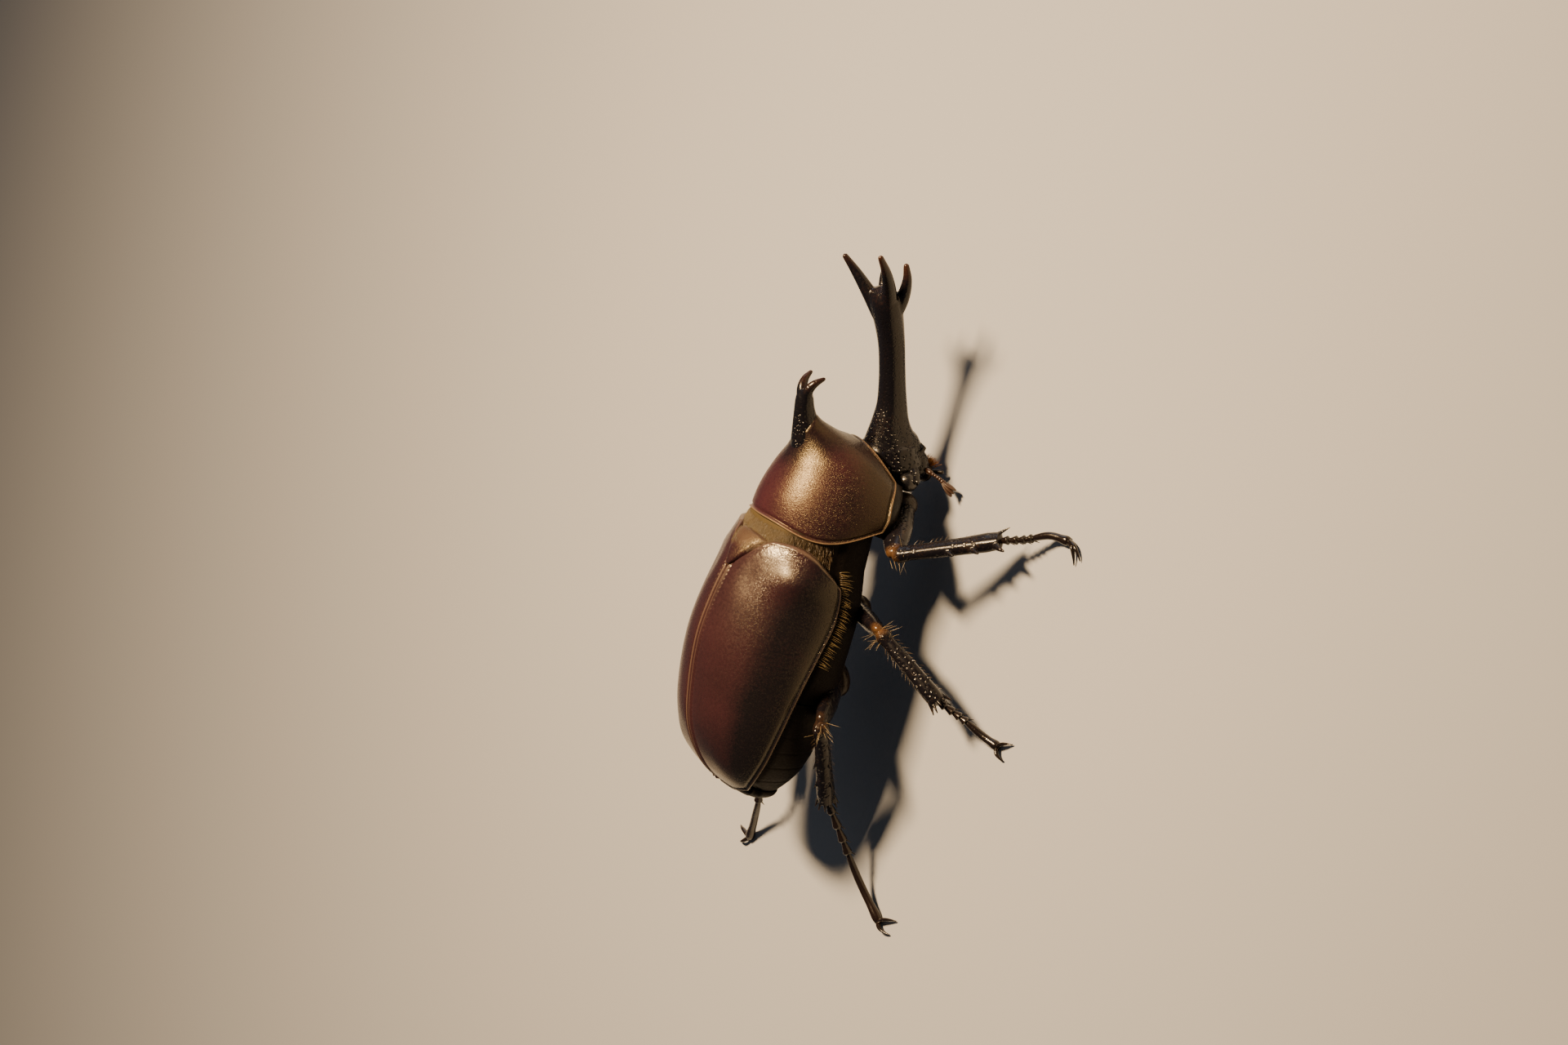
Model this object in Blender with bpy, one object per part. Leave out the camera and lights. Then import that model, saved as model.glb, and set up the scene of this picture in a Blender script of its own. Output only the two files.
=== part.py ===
"""A large male Japanese rhinoceros beetle, life size, standing on six legs with its head held low.

Lengths are in millimetres in the tables below. Points are written (forward, right, up) from the middle
of the back line, with the floor at up = 0, and turned into metres when a mesh is made.
The beetle faces -Y.
"""
import math

import bmesh
import bpy
import numpy as np
from mathutils import Vector

MM = 0.001
GAP = 0.3

# Elytra: half width, back line height and side margin height against distance forward.
ELYTRA_FRONT = 17.3
ELYTRA_REAR = -20.5
ELYTRA_WALL = 1.0
ELYTRA_HALF_WIDTH = 12.9
BACK_LINE = [(-20.6, 20.6), (-19.6, 22.6), (-17.8, 25.1), (-15.0, 27.5), (-11.5, 29.4), (-7.0, 30.6),
             (-2.0, 31.4), (2.0, 31.6), (7.0, 31.1), (11.0, 30.3), (15.0, 29.0), (18.0, 27.4)]
SIDE_MARGIN = [(-20.6, 19.6), (-18.0, 21.2), (-13.0, 21.5), (-8.0, 21.2), (-2.0, 20.3), (4.0, 19.0),
               (8.5, 18.0), (12.0, 18.2), (16.0, 19.4), (18.0, 20.4)]
ELYTRON_FRONT_EDGE = [(0.0, 11.3), (2.0, 14.0), (4.4, 17.0), (6.5, 17.7), (9.0, 17.7), (10.8, 16.9),
                      (11.8, 15.2)]
SUTURE_NOTCH = 1.4

# Prothorax: lower side edge and top line from the rear rim to the front margin.
PRONOTUM_SIDE = [(0.0, 22.3, 11.3, 13.7), (0.25, 24.1, 11.3, 13.1), (0.5, 26.1, 10.5, 12.8),
                 (0.75, 27.9, 9.1, 12.1), (1.0, 28.9, 7.4, 11.4)]
PRONOTUM_TOP = [(0.0, 19.6, 27.4), (0.18, 22.9, 27.0), (0.36, 26.3, 26.0), (0.52, 29.4, 24.7),
                (0.66, 32.0, 23.2), (0.78, 33.5, 20.5), (0.9, 33.4, 17.2), (1.0, 33.0, 14.8)]
REAR_RIM_BOW = 2.8

# Horn on the head: middle line with half height and half width.
HEAD_HORN_STEM = [(33.3, 9.5, 4.2, 3.5), (34.6, 10.0, 3.4, 2.9), (36.4, 10.5, 2.7, 2.35),
                  (38.6, 11.0, 2.2, 2.0), (41.2, 11.8, 1.95, 1.85), (44.2, 12.8, 1.85, 1.8),
                  (47.2, 13.9, 1.85, 1.9), (49.8, 15.1, 1.95, 2.2), (52.0, 16.3, 2.05, 2.6),
                  (53.6, 17.3, 1.95, 2.7), (54.6, 17.9, 1.4, 2.1)]
TINES = [[(51.6, 0.8, 16.4), (54.9, 2.3, 18.2), (57.6, 3.7, 20.4), (59.7, 4.6, 22.6)],
         [(51.2, -0.8, 16.6), (53.8, -2.4, 18.8), (56.0, -3.8, 20.8), (57.7, -4.8, 22.6)],
         [(51.0, 0.6, 15.7), (54.2, 1.7, 15.4), (57.0, 2.4, 15.9), (59.1, 2.3, 16.7)],
         [(51.2, -0.6, 15.9), (53.8, -1.5, 16.4), (55.9, -2.1, 16.9), (57.3, -1.9, 17.4)]]
TINE_RADII = [1.35, 1.05, 0.75, 0.4]

# Horn on the prothorax.
THORAX_HORN = [(29.8, 21.6, 2.9, 3.0), (31.6, 22.8, 2.5, 2.4), (33.6, 24.0, 1.95, 1.75),
               (35.8, 24.95, 1.5, 1.4), (37.4, 25.4, 1.25, 1.4), (38.3, 25.5, 0.9, 1.25)]
THORAX_PRONG = [(37.1, 0.35, 25.4), (38.6, 0.9, 25.7), (39.8, 1.45, 25.3), (40.9, 2.0, 24.3)]
PRONG_RADII = [0.95, 0.75, 0.52, 0.3]

# Legs: hip, knee, tibia end, tarsus waypoints (the last is the root of the claws) and the two claw tips.
LEGS = {
    "fore_right": dict(hip=(25.4, 4.4, 7.4), knee=(20.4, 15.0, 13.3), ankle=(27.7, 27.0, 4.7),
                       toes=[(29.0, 30.0, 3.1), (30.8, 33.2, 1.7), (31.1, 36.2, 0.45)],
                       claws=[(29.2, 39.7, 0.3), (28.2, 38.6, 0.3)]),
    "mid_right": dict(hip=(9.2, 4.6, 9.8), knee=(9.6, 17.5, 13.5), ankle=(3.2, 26.9, 7.0),
                      toes=[(2.0, 29.3, 3.9), (0.8, 31.7, 1.8), (0.2, 34.2, 0.45)],
                      claws=[(1.7, 37.3, 0.3), (-1.2, 36.2, 0.3)]),
    "hind_right": dict(hip=(-1.4, 4.6, 10.0), knee=(-5.3, 15.5, 17.5), ankle=(-17.7, 11.9, 10.5),
                       toes=[(-22.7, 12.9, 6.8), (-28.4, 14.6, 2.9), (-32.8, 18.8, 0.45)],
                       claws=[(-31.0, 22.9, 0.3), (-33.4, 22.2, 0.3)]),
    "fore_left": dict(hip=(25.4, -4.4, 7.4), knee=(19.6, -15.4, 12.6), ankle=(20.2, -28.4, 4.6),
                      toes=[(20.0, -31.8, 3.1), (19.9, -34.6, 1.7), (19.4, -37.2, 0.45)],
                      claws=[(17.3, -40.4, 0.3), (16.6, -39.2, 0.3)]),
    "mid_left": dict(hip=(9.2, -4.6, 9.8), knee=(8.9, -17.3, 13.4), ankle=(1.6, -26.2, 7.0),
                     toes=[(0.0, -28.5, 3.9), (-1.5, -30.8, 1.8), (-2.4, -33.3, 0.45)],
                     claws=[(-1.2, -36.5, 0.3), (-3.9, -35.6, 0.3)]),
    "hind_left": dict(hip=(-1.4, -4.6, 10.0), knee=(-6.4, -15.3, 16.6), ankle=(-19.4, -12.4, 9.4),
                      toes=[(-25.6, -12.9, 6.2), (-31.4, -17.2, 2.8), (-35.8, -20.8, 0.45)],
                      claws=[(-35.2, -24.6, 0.3), (-37.4, -23.4, 0.3)]),
}
FEMUR_DEPTH = {"fore": 2.15, "mid": 2.0, "hind": 2.15}
TIBIA_END = {"fore": 1.5, "mid": 1.45, "hind": 1.45}
TARSUS_RADIUS = 0.43
TARSUS_JOINTS = [0.0, 0.13, 0.25, 0.36, 0.46, 1.0]
CLAW_BOW = {"fore": 0.9, "mid": 0.3, "hind": 0.35}
CLAW_RADIUS = 0.4


def curve(table, x):
    """Smooth curve through (position, value) pairs."""
    xs = [row[0] for row in table]
    ys = [row[1] for row in table]
    x = min(max(x, xs[0]), xs[-1])
    i = max(k for k in range(len(xs) - 1) if xs[k] <= x or k == 0)

    def slope(k):
        low, high = max(k - 1, 0), min(k + 1, len(xs) - 1)
        return (ys[high] - ys[low]) / (xs[high] - xs[low])

    h = xs[i + 1] - xs[i]
    t = (x - xs[i]) / h
    a, b = slope(i) * h, slope(i + 1) * h
    return ((2 * t ** 3 - 3 * t ** 2 + 1) * ys[i] + (t ** 3 - 2 * t ** 2 + t) * a
            + (3 * t ** 2 - 2 * t ** 3) * ys[i + 1] + (t ** 3 - t ** 2) * b)


def column(table, j):
    """One column of a table against its first column."""
    return [(row[0], row[j]) for row in table]


def path_points(points, count):
    """Evenly spaced points on a smooth curve through a few points."""
    pts = [np.array(p, float) for p in points]
    lengths = [0.0]
    for a, b in zip(pts, pts[1:]):
        lengths.append(lengths[-1] + float(np.linalg.norm(b - a)))
    axes = [[(s, p[k]) for s, p in zip(lengths, pts)] for k in range(3)]
    return [np.array([curve(axis, s) for axis in axes]) for s in np.linspace(0, lengths[-1], count)]


def material(name, colour, roughness, coat=0.0):
    """Plain material with one surface colour."""
    found = bpy.data.materials.get(name)
    if found:
        return found
    mat = bpy.data.materials.new(name)
    mat.use_nodes = True
    shader = mat.node_tree.nodes["Principled BSDF"]
    shader.inputs["Base Color"].default_value = (*colour, 1)
    shader.inputs["Roughness"].default_value = roughness
    shader.inputs["Coat Weight"].default_value = coat
    mat.diffuse_color = (*colour, 1)
    return mat


def wing_case_brown():
    return material("elytra_mahogany", (0.10, 0.028, 0.010), 0.3, 0.5)


def shield_brown():
    return material("pronotum_dark_brown", (0.075, 0.022, 0.010), 0.35, 0.4)


def horn_black():
    return material("horn_brown_black", (0.022, 0.010, 0.007), 0.38, 0.3)


def belly_brown():
    return material("underside_brown", (0.085, 0.03, 0.012), 0.45)


def leg_black():
    return material("leg_black", (0.018, 0.009, 0.007), 0.3, 0.4)


def foot_black():
    return material("tarsus_black_brown", (0.03, 0.012, 0.008), 0.3, 0.3)


def eye_black():
    return material("eye_black", (0.01, 0.009, 0.009), 0.15, 0.8)


def feeler_brown():
    return material("antenna_brown", (0.11, 0.035, 0.012), 0.35)


def make(name, verts, faces, mat=None):
    """Mesh object from points in millimetres, normals outward."""
    mesh = bpy.data.meshes.new(name)
    mesh.from_pydata([(-r * MM, -f * MM, u * MM) for f, r, u in verts], [], faces)
    work = bmesh.new()
    work.from_mesh(mesh)
    bmesh.ops.recalc_face_normals(work, faces=work.faces)
    work.to_mesh(mesh)
    work.free()
    obj = bpy.data.objects.new(name, mesh)
    bpy.context.collection.objects.link(obj)
    if mat:
        mesh.materials.append(mat)
    return obj


def skin(rings, start=None, end=None):
    """Closed surface over rings of equal length, its ends closed by fans."""
    count = len(rings[0])
    verts = [tuple(p) for ring in rings for p in ring]
    faces = []
    for i in range(len(rings) - 1):
        for j in range(count):
            k = (j + 1) % count
            faces.append((i * count + j, i * count + k, (i + 1) * count + k, (i + 1) * count + j))
    for ring, first, tip in ((rings[0], 0, start), (rings[-1], (len(rings) - 1) * count, end)):
        centre = np.mean(np.array(ring, float), axis=0) if tip is None else np.array(tip, float)
        verts.append(tuple(centre))
        faces += [(first + j, first + (j + 1) % count, len(verts) - 1) for j in range(count)]
    return verts, faces


def frames(points, up):
    """Side and up directions along a path, carried smoothly."""
    found = []
    lean = np.array(up, float)
    for i in range(len(points)):
        ahead = points[min(i + 1, len(points) - 1)] - points[max(i - 1, 0)]
        ahead = ahead / np.linalg.norm(ahead)
        lean = lean - ahead * float(lean @ ahead)
        lean = lean / np.linalg.norm(lean)
        found.append((np.cross(ahead, lean), lean))
    return found


def tube(points, sizes, sides, up=(0, 0, 1), tip=0.0):
    """Closed limb along points; sizes are (side, up) half widths; tip lengthens the last end to a point."""
    points = [np.array(p, float) for p in points]
    rings = []
    for point, (side, lean), (a, b) in zip(points, frames(points, up), sizes):
        rings.append([point + side * a * math.cos(t) + lean * b * math.sin(t)
                      for t in (2 * math.pi * k / sides for k in range(sides))])
    first = points[0] - points[1]
    last = points[-1] - points[-2]
    start = points[0] + first / np.linalg.norm(first) * min(sizes[0]) * 0.5
    end = points[-1] + last / np.linalg.norm(last) * (tip if tip else min(sizes[-1]) * 0.5)
    return skin(rings, start, end)


def ellipsoid(centre, radii, rows=8, sides=12, lean=None):
    """Closed ellipsoid; lean is an optional long direction for its first radius."""
    centre = np.array(centre, float)
    a = np.array(lean if lean is not None else (1, 0, 0), float)
    a = a / np.linalg.norm(a)
    c = np.array((0, 0, 1.0)) - a * a[2]
    c = c / np.linalg.norm(c)
    b = np.cross(a, c)
    rings = []
    for i in range(1, rows):
        s = math.pi * i / rows
        ring = []
        for k in range(sides):
            t = 2 * math.pi * k / sides
            across = b * radii[1] * math.cos(t) + c * radii[2] * math.sin(t)
            ring.append(centre + a * radii[0] * math.cos(s) + across * math.sin(s))
        rings.append(ring)
    return skin(rings, centre + a * radii[0], centre - a * radii[0])


def spine(root, direction, length, radius, sides=5):
    """Tapered spine whose root is sunk in the surface."""
    root = np.array(root, float)
    direction = np.array(direction, float)
    direction = direction / np.linalg.norm(direction)
    up = (0, 0, 1) if abs(direction[2]) < 0.9 else (1, 0, 0)
    points = [root - direction * radius * 0.9, root + direction * length * 0.55]
    return tube(points, [(radius, radius), (radius * 0.62, radius * 0.62)], sides, up, length * 0.45)


def volume(mesh):
    """Volume inside a closed mesh, or 0 where an edge hasn't exactly two faces."""
    work = bmesh.new()
    work.from_mesh(mesh)
    closed = len(work.faces) > 3 and all(len(e.link_faces) == 2 for e in work.edges)
    found = abs(work.calc_volume()) if closed else 0.0
    work.free()
    return found


def keep_largest(obj):
    """Removes every loose surface but the one with the most volume."""
    work = bmesh.new()
    work.from_mesh(obj.data)
    bmesh.ops.dissolve_degenerate(work, dist=2e-6, edges=work.edges)
    if any(len(e.link_faces) != 2 for e in work.edges):
        work.free()
        work = bmesh.new()
        work.from_mesh(obj.data)
    left = set(work.verts)
    groups = []
    while left:
        todo = [left.pop()]
        group = set(todo)
        while todo:
            vert = todo.pop()
            for edge in vert.link_edges:
                other = edge.other_vert(vert)
                if other in left:
                    left.discard(other)
                    group.add(other)
                    todo.append(other)
        groups.append(group)

    def extent(group):
        pts = np.array([v.co[:] for v in group])
        return float(np.prod(pts.max(0) - pts.min(0) + 1e-7))

    groups.sort(key=extent)
    for group in groups[:-1]:
        bmesh.ops.delete(work, geom=list(group), context="VERTS")
    work.to_mesh(obj.data)
    work.free()


def combine(obj, other, operation):
    """Boolean of two closed objects; the second one is used up."""
    before = obj.data
    least = volume(before) * (0.97 if operation == "UNION" else 0.05)
    for solver in ("EXACT", "MANIFOLD"):
        step = obj.modifiers.new("combine", "BOOLEAN")
        step.operation = operation
        step.solver = solver
        step.object = other
        bpy.context.view_layer.update()
        graph = bpy.context.evaluated_depsgraph_get()
        result = bpy.data.meshes.new_from_object(obj.evaluated_get(graph))
        obj.modifiers.remove(step)
        if volume(result) > least:
            obj.data = result
            keep_largest(obj)
            if volume(obj.data) > least:
                break
            obj.data = before
    bpy.data.objects.remove(other)
    return obj.data is not before


def fuse(obj, pieces):
    """Adds closed pieces to an object one by one, a hair larger or smaller where one won't join."""
    for verts, faces in pieces:
        points = np.array(verts, float)
        middle = points.mean(axis=0)
        for size in (1.0, 1.03, 0.97, 1.06):
            if combine(obj, make("piece", middle + (points - middle) * size, faces), "UNION"):
                break
    return obj


def carve(obj, neighbour):
    """Cuts an object back to a small gap from its neighbour."""
    for widening in (1.0, 1.09, 0.93, 1.17):
        if combine(obj, grown_copy(neighbour, GAP * widening), "DIFFERENCE"):
            break
    return obj


def grown_copy(neighbour, gap):
    """Copy of an object with its surface moved outward."""
    cutter = bpy.data.objects.new("cutter", neighbour.data.copy())
    bpy.context.collection.objects.link(cutter)
    work = bmesh.new()
    work.from_mesh(cutter.data)
    work.normal_update()
    bmesh.ops.recalc_face_normals(work, faces=work.faces)
    moves = {v: v.normal * gap * MM * min(v.calc_shell_factor(), 1.6) for v in work.verts}
    for vert, move in moves.items():
        vert.co += move
    work.to_mesh(cutter.data)
    work.free()
    return cutter


def trim(obj, point, direction):
    """Cuts away what lies beyond a plane and closes the cut."""
    f, r, u = point
    df, dr, du = direction
    work = bmesh.new()
    work.from_mesh(obj.data)
    cut = bmesh.ops.bisect_plane(work, geom=work.verts[:] + work.edges[:] + work.faces[:], dist=1e-7,
                                 plane_co=Vector((-r, -f, u)) * MM, plane_no=Vector((-dr, -df, du)),
                                 clear_outer=True)
    rim = [e for e in cut["geom_cut"] if isinstance(e, bmesh.types.BMEdge)]
    if rim:
        bmesh.ops.holes_fill(work, edges=rim, sides=0)
    bmesh.ops.recalc_face_normals(work, faces=work.faces)
    work.to_mesh(obj.data)
    work.free()
    return obj


def finish(obj, angle=38):
    """Smooth shading with sharp edges kept."""
    obj.data.shade_smooth()
    obj.data.set_sharp_from_angle(angle=math.radians(angle))
    return obj


# Elytra

def elytra_half_width(f):
    if f > 3:
        return ELYTRA_HALF_WIDTH - 1.0 * ((f - 3) / 12.5) ** 2
    return ELYTRA_HALF_WIDTH * max(1 - (abs(f - 3) / 24.2) ** 3.2, 0.0) ** (1 / 2.4)


def elytron_point(u, v):
    """Point of the outer surface: u from suture to side margin, v from front edge to apex."""
    angle = u * math.pi / 2
    front = curve(ELYTRON_FRONT_EDGE, 11.8 * math.sin(angle))
    rear = ELYTRA_REAR + SUTURE_NOTCH * (1 - math.sin(angle)) ** 1.6
    f = front + (rear - front) * v
    r = GAP / 2 + (elytra_half_width(f) - GAP / 2) * math.sin(angle) ** 0.96
    low, high = curve(SIDE_MARGIN, f), curve(BACK_LINE, f)
    return np.array([f, r, low + (high - low) * math.cos(angle) ** 1.15])


def elytron_grid(columns, rows, depth):
    """Grid of the elytron surface set in by a depth along its normal."""
    grid = []
    for i in range(columns + 1):
        u = i / columns
        line = []
        for j in range(rows + 1):
            v = (1 - math.cos(math.pi * j / rows)) / 2 * 0.45 + 0.55 * j / rows
            u_, v_ = min(max(u, 0.004), 0.996), min(max(v, 0.004), 0.99)
            across = elytron_point(u_ + 0.004, v_) - elytron_point(u_ - 0.004, v_)
            along = elytron_point(u_, v_ + 0.004) - elytron_point(u_, v_ - 0.004)
            normal = np.cross(along, across)
            normal = normal / np.linalg.norm(normal)
            if normal[2] < 0:
                normal = -normal
            if i == 0:
                normal[1] = 0
            if i == columns:
                normal[2] = 0
            point = elytron_point(u, v) - normal * depth
            if i == 0:
                point[1] = GAP / 2
            line.append(point)
        grid.append(line)
    return grid


def shell(outer, inner):
    """Closed plate between two grids."""
    rows, cols = len(outer), len(outer[0])
    verts = [tuple(p) for line in outer for p in line] + [tuple(p) for line in inner for p in line]
    half = rows * cols

    def at(i, j, side):
        return side * half + i * cols + j

    faces = []
    for i in range(rows - 1):
        for j in range(cols - 1):
            faces.append((at(i, j, 0), at(i + 1, j, 0), at(i + 1, j + 1, 0), at(i, j + 1, 0)))
            faces.append((at(i, j, 1), at(i, j + 1, 1), at(i + 1, j + 1, 1), at(i + 1, j, 1)))
    for i in range(rows - 1):
        for j in (0, cols - 1):
            faces.append((at(i, j, 0), at(i + 1, j, 0), at(i + 1, j, 1), at(i, j, 1)))
    for j in range(cols - 1):
        for i in (0, rows - 1):
            faces.append((at(i, j, 0), at(i, j + 1, 0), at(i, j + 1, 1), at(i, j, 1)))
    return verts, faces


def mirror(verts, faces):
    return [(f, -r, u) for f, r, u in verts], faces


def elytra():
    verts, faces = shell(elytron_grid(11, 16, 0.0), elytron_grid(11, 16, ELYTRA_WALL))
    right = make("elytron_right", verts, faces, wing_case_brown())
    left = make("elytron_left", *mirror(verts, faces), wing_case_brown())
    return finish(right, 50), finish(left, 50)


# Prothorax

def pronotum_point(angle, v, lift=0.0):
    """Point of the shield: angle 0 at the middle, 90 degrees at the right edge; v from rear to front."""
    side = [curve(column(PRONOTUM_SIDE, k), v) for k in (1, 2, 3)]
    top = [curve(column(PRONOTUM_TOP, k), v) for k in (1, 2)]
    s, c = math.sin(abs(angle)), max(math.cos(angle), 0.0)
    c = c ** (0.95 + 0.75 * v ** 3)
    sign = 1 if angle >= 0 else -1
    bow = REAR_RIM_BOW * max(math.sin(2 * abs(angle)), 0.0) ** 1.2 * s ** 1.6 * (1 - v) ** 2
    return np.array([side[0] + (top[0] - side[0]) * c - bow, sign * side[1] * s ** 0.95,
                     side[2] + (top[1] - side[2]) * c + lift])


def pronotum():
    rows, half = 15, 13
    rings = []
    for i in range(rows + 1):
        v = i / rows
        ring = [pronotum_point(math.pi / 2 * k / half, v) for k in range(-half, half + 1)]
        left, right = ring[0], ring[-1]
        ring += [right + (left - right) * k / 5 for k in range(1, 5)]
        rings.append(ring)
    verts, faces = skin(rings)
    return finish(make("pronotum", verts, faces, shield_brown()), 45)


def prosternum(shield):
    rings = []
    for v in np.linspace(0, 1, 8):
        f, r, u = [curve(column(PRONOTUM_SIDE, k), v) for k in (1, 2, 3)]
        f -= 0.9 * (1 - v)
        depth = 4.6 * (0.62 + 0.38 * math.sin(math.pi * (0.2 + 0.6 * v)))
        ring = []
        for k in range(20):
            t = math.pi * k / 19
            low = u - depth * math.sin(t) ** 0.8
            ring.append((f - 1.2 * math.sin(t), (r - 0.5) * math.cos(t) * 0.97, low))
        ring += [(f, (r - 0.5) * x, u + 1.5) for x in (-0.9, -0.5, 0.0, 0.5, 0.9)]
        rings.append(ring)
    verts, faces = skin(rings)
    obj = make("prosternum", verts, faces, belly_brown())
    carve(obj, shield)
    return finish(obj)


def pronotal_horn(shield):
    points = [(row[0], 0.0, row[1]) for row in THORAX_HORN]
    verts, faces = tube(points, [(row[3], row[2]) for row in THORAX_HORN], 14)
    obj = make("pronotal_horn", verts, faces, horn_black())
    for side in (1, -1):
        path = path_points([(f, r * side, u) for f, r, u in THORAX_PRONG], 5)
        sizes = [(r, r) for r in np.interp(np.linspace(0, 3, 5), range(4), PRONG_RADII)]
        fuse(obj, [tube(path, sizes, 8)])
    carve(obj, shield)
    return finish(obj)


# Head

HEAD_SECTIONS = [(3.0, 29.6, 31.6, 2.7), (3.9, 28.6, 32.5, 3.3), (5.4, 27.8, 33.6, 4.1),
                 (7.2, 27.6, 34.4, 5.2), (9.2, 27.9, 34.6, 5.5), (11.2, 28.6, 34.4, 5.0),
                 (13.0, 30.2, 33.9, 3.9), (14.0, 31.4, 33.2, 2.6)]
EYE = dict(centre=(28.9, 5.0, 7.9), radii=(1.35, 1.25, 1.45))


def head(shield, underside):
    rings = []
    for up in np.linspace(HEAD_SECTIONS[0][0], HEAD_SECTIONS[-1][0], 10):
        rear, front, half = [curve(column(HEAD_SECTIONS, k), up) for k in (1, 2, 3)]
        mid, reach = (rear + front) / 2, (front - rear) / 2
        ring = []
        for k in range(20):
            t = 2 * math.pi * k / 20
            c, s = math.cos(t), math.sin(t)
            ring.append((mid + reach * math.copysign(abs(c) ** 0.8, c),
                         half * math.copysign(abs(s) ** 0.8, s), up))
        rings.append(ring)
    verts, faces = skin(rings)
    obj = make("head", verts, faces, horn_black())
    trim(obj, (33.0, 0, 0), (1, 0, 0))
    carve(obj, shield)
    carve(obj, underside)
    for side in (1, -1):
        f, r, u = EYE["centre"]
        socket = ellipsoid((f, r * side, u), [x + GAP for x in EYE["radii"]], 8, 12)
        combine(obj, make("socket", *socket), "DIFFERENCE")
    return finish(obj)


def eyes(shield, underside):
    found = []
    for name, side in (("eye_right", 1), ("eye_left", -1)):
        f, r, u = EYE["centre"]
        obj = make(name, *ellipsoid((f, r * side, u), EYE["radii"], 8, 12), eye_black())
        carve(obj, shield)
        carve(obj, underside)
        found.append(finish(obj, 60))
    return found


def head_horn():
    points = [(row[0], 0.0, row[1]) for row in HEAD_HORN_STEM]
    verts, faces = tube(points, [(row[3], row[2]) for row in HEAD_HORN_STEM], 14)
    obj = make("head_horn", verts, faces, horn_black())
    for tine in TINES:
        sizes = [(r, r) for r in np.interp(np.linspace(0, 3, 5), range(4), TINE_RADII)]
        fuse(obj, [tube(path_points(tine, 5), sizes, 7)])
    trim(obj, (33.3, 0, 0), (-1, 0, 0))
    return finish(obj)


def antenna(name, side, skull):
    base = [(30.9, 3.4, 4.6), (30.7, 4.7, 4.3), (30.4, 5.6, 3.5), (29.9, 6.2, 2.7)]
    path = path_points([(f, r * side, u) for f, r, u in base], 6)
    sizes = [(r, r) for r in (0.42, 0.45, 0.38, 0.33, 0.34, 0.4)]
    obj = make(name, *tube(path, sizes, 8, (1, 0, 0)), feeler_brown())
    for k in range(3):
        lean = (-0.25 - 0.25 * k, 0.8 * side, -0.55)
        middle = (29.8 - 0.28 * k, (6.9 + 0.02 * k) * side, 2.2 + 0.12 * k)
        fuse(obj, [ellipsoid(middle, (1.25, 0.34, 0.5), 6, 8, lean)])
    carve(obj, skull)
    return finish(obj)


def mouthparts(skull):
    obj = make("mouthparts", *ellipsoid((29.9, 0, 2.5), (1.5, 2.0, 0.85), 6, 14), leg_black())
    for side in (1, -1):
        path = path_points([(29.9, 1.2 * side, 2.5), (30.6, 2.6 * side, 2.1), (30.9, 3.5 * side, 1.6)], 4)
        fuse(obj, [tube(path, [(0.45, 0.45), (0.4, 0.4), (0.35, 0.35), (0.3, 0.3)], 7)])
        fuse(obj, [spine((30.6, 0.75 * side, 2.4), (1, 0.25 * side, -0.15), 1.3, 0.5, 6)])
    carve(obj, skull)
    return finish(obj)


# Body under the elytra

BELLY = [(-20.5, 15.2), (-19.2, 13.3), (-17.5, 11.7), (-15.0, 10.7), (-11.0, 10.1), (-4.0, 9.9), (4.0, 10.2),
         (12.0, 10.6), (16.0, 10.8), (20.5, 11.4)]


def body_ring(f, shrink=0.0):
    """Section of the body: rounded under the elytra, fuller below their margin."""
    half, low = elytra_half_width(f), curve(SIDE_MARGIN, f)
    inset = ELYTRA_WALL + GAP + 0.15
    top = min(curve(BACK_LINE, max(f - inset, ELYTRA_REAR)), curve(BACK_LINE, f)) - inset
    low = min(low, top - 0.6)
    under = curve(BELLY, f) + shrink
    ring = []
    for k in range(8):
        t = math.pi / 2 * k / 8
        ring.append((f, (half - inset) * math.sin(t), low + (top - low) * math.cos(t)))
    ring.append((f, half - inset, low - 0.1))
    ring.append((f, half - inset, low - GAP - 0.1))
    for k in range(1, 9):
        t = math.pi / 2 * k / 8
        ring.append((f, (half - 0.7 - shrink) * math.cos(t) ** 0.75 * (1 if k < 8 else 0),
                     low - 0.5 - (low - 0.5 - under) * math.sin(t) ** 0.9))
    mirrored = [(p[0], -p[1], p[2]) for p in ring[1:-1]]
    return ring + mirrored[::-1]


def abdomen():
    rings = []
    for f in np.linspace(-4.15, -19.2, 13):
        groove = 0.16 if abs(((f + 4.15) / -2.6) % 1 - 0.5) < 0.2 else 0.0
        rings.append(body_ring(f, groove))
    verts, faces = skin(rings)
    return finish(make("abdomen", verts, faces, belly_brown()))


def pygidium(cases):
    """Rounded end plate that carries the last ring of the abdomen on to the rear."""
    base = np.array(body_ring(-19.2), float)
    middle = np.array((0.0, 0.0, 16.2))
    rings = []
    for t in (0.0, 0.2, 0.4, 0.6, 0.8, 0.93):
        size = (1 - t ** 2.2) ** 0.6
        rings.append([middle + (p - middle) * (0, size, size) + (-19.2 - GAP - 2.3 * t, 0, 0) for p in base])
    verts, faces = skin(rings, None, (-21.85, 0, 16.2))
    obj = make("pygidium", verts, faces, belly_brown())
    for case in cases:
        carve(obj, case)
    return finish(obj)


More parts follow.
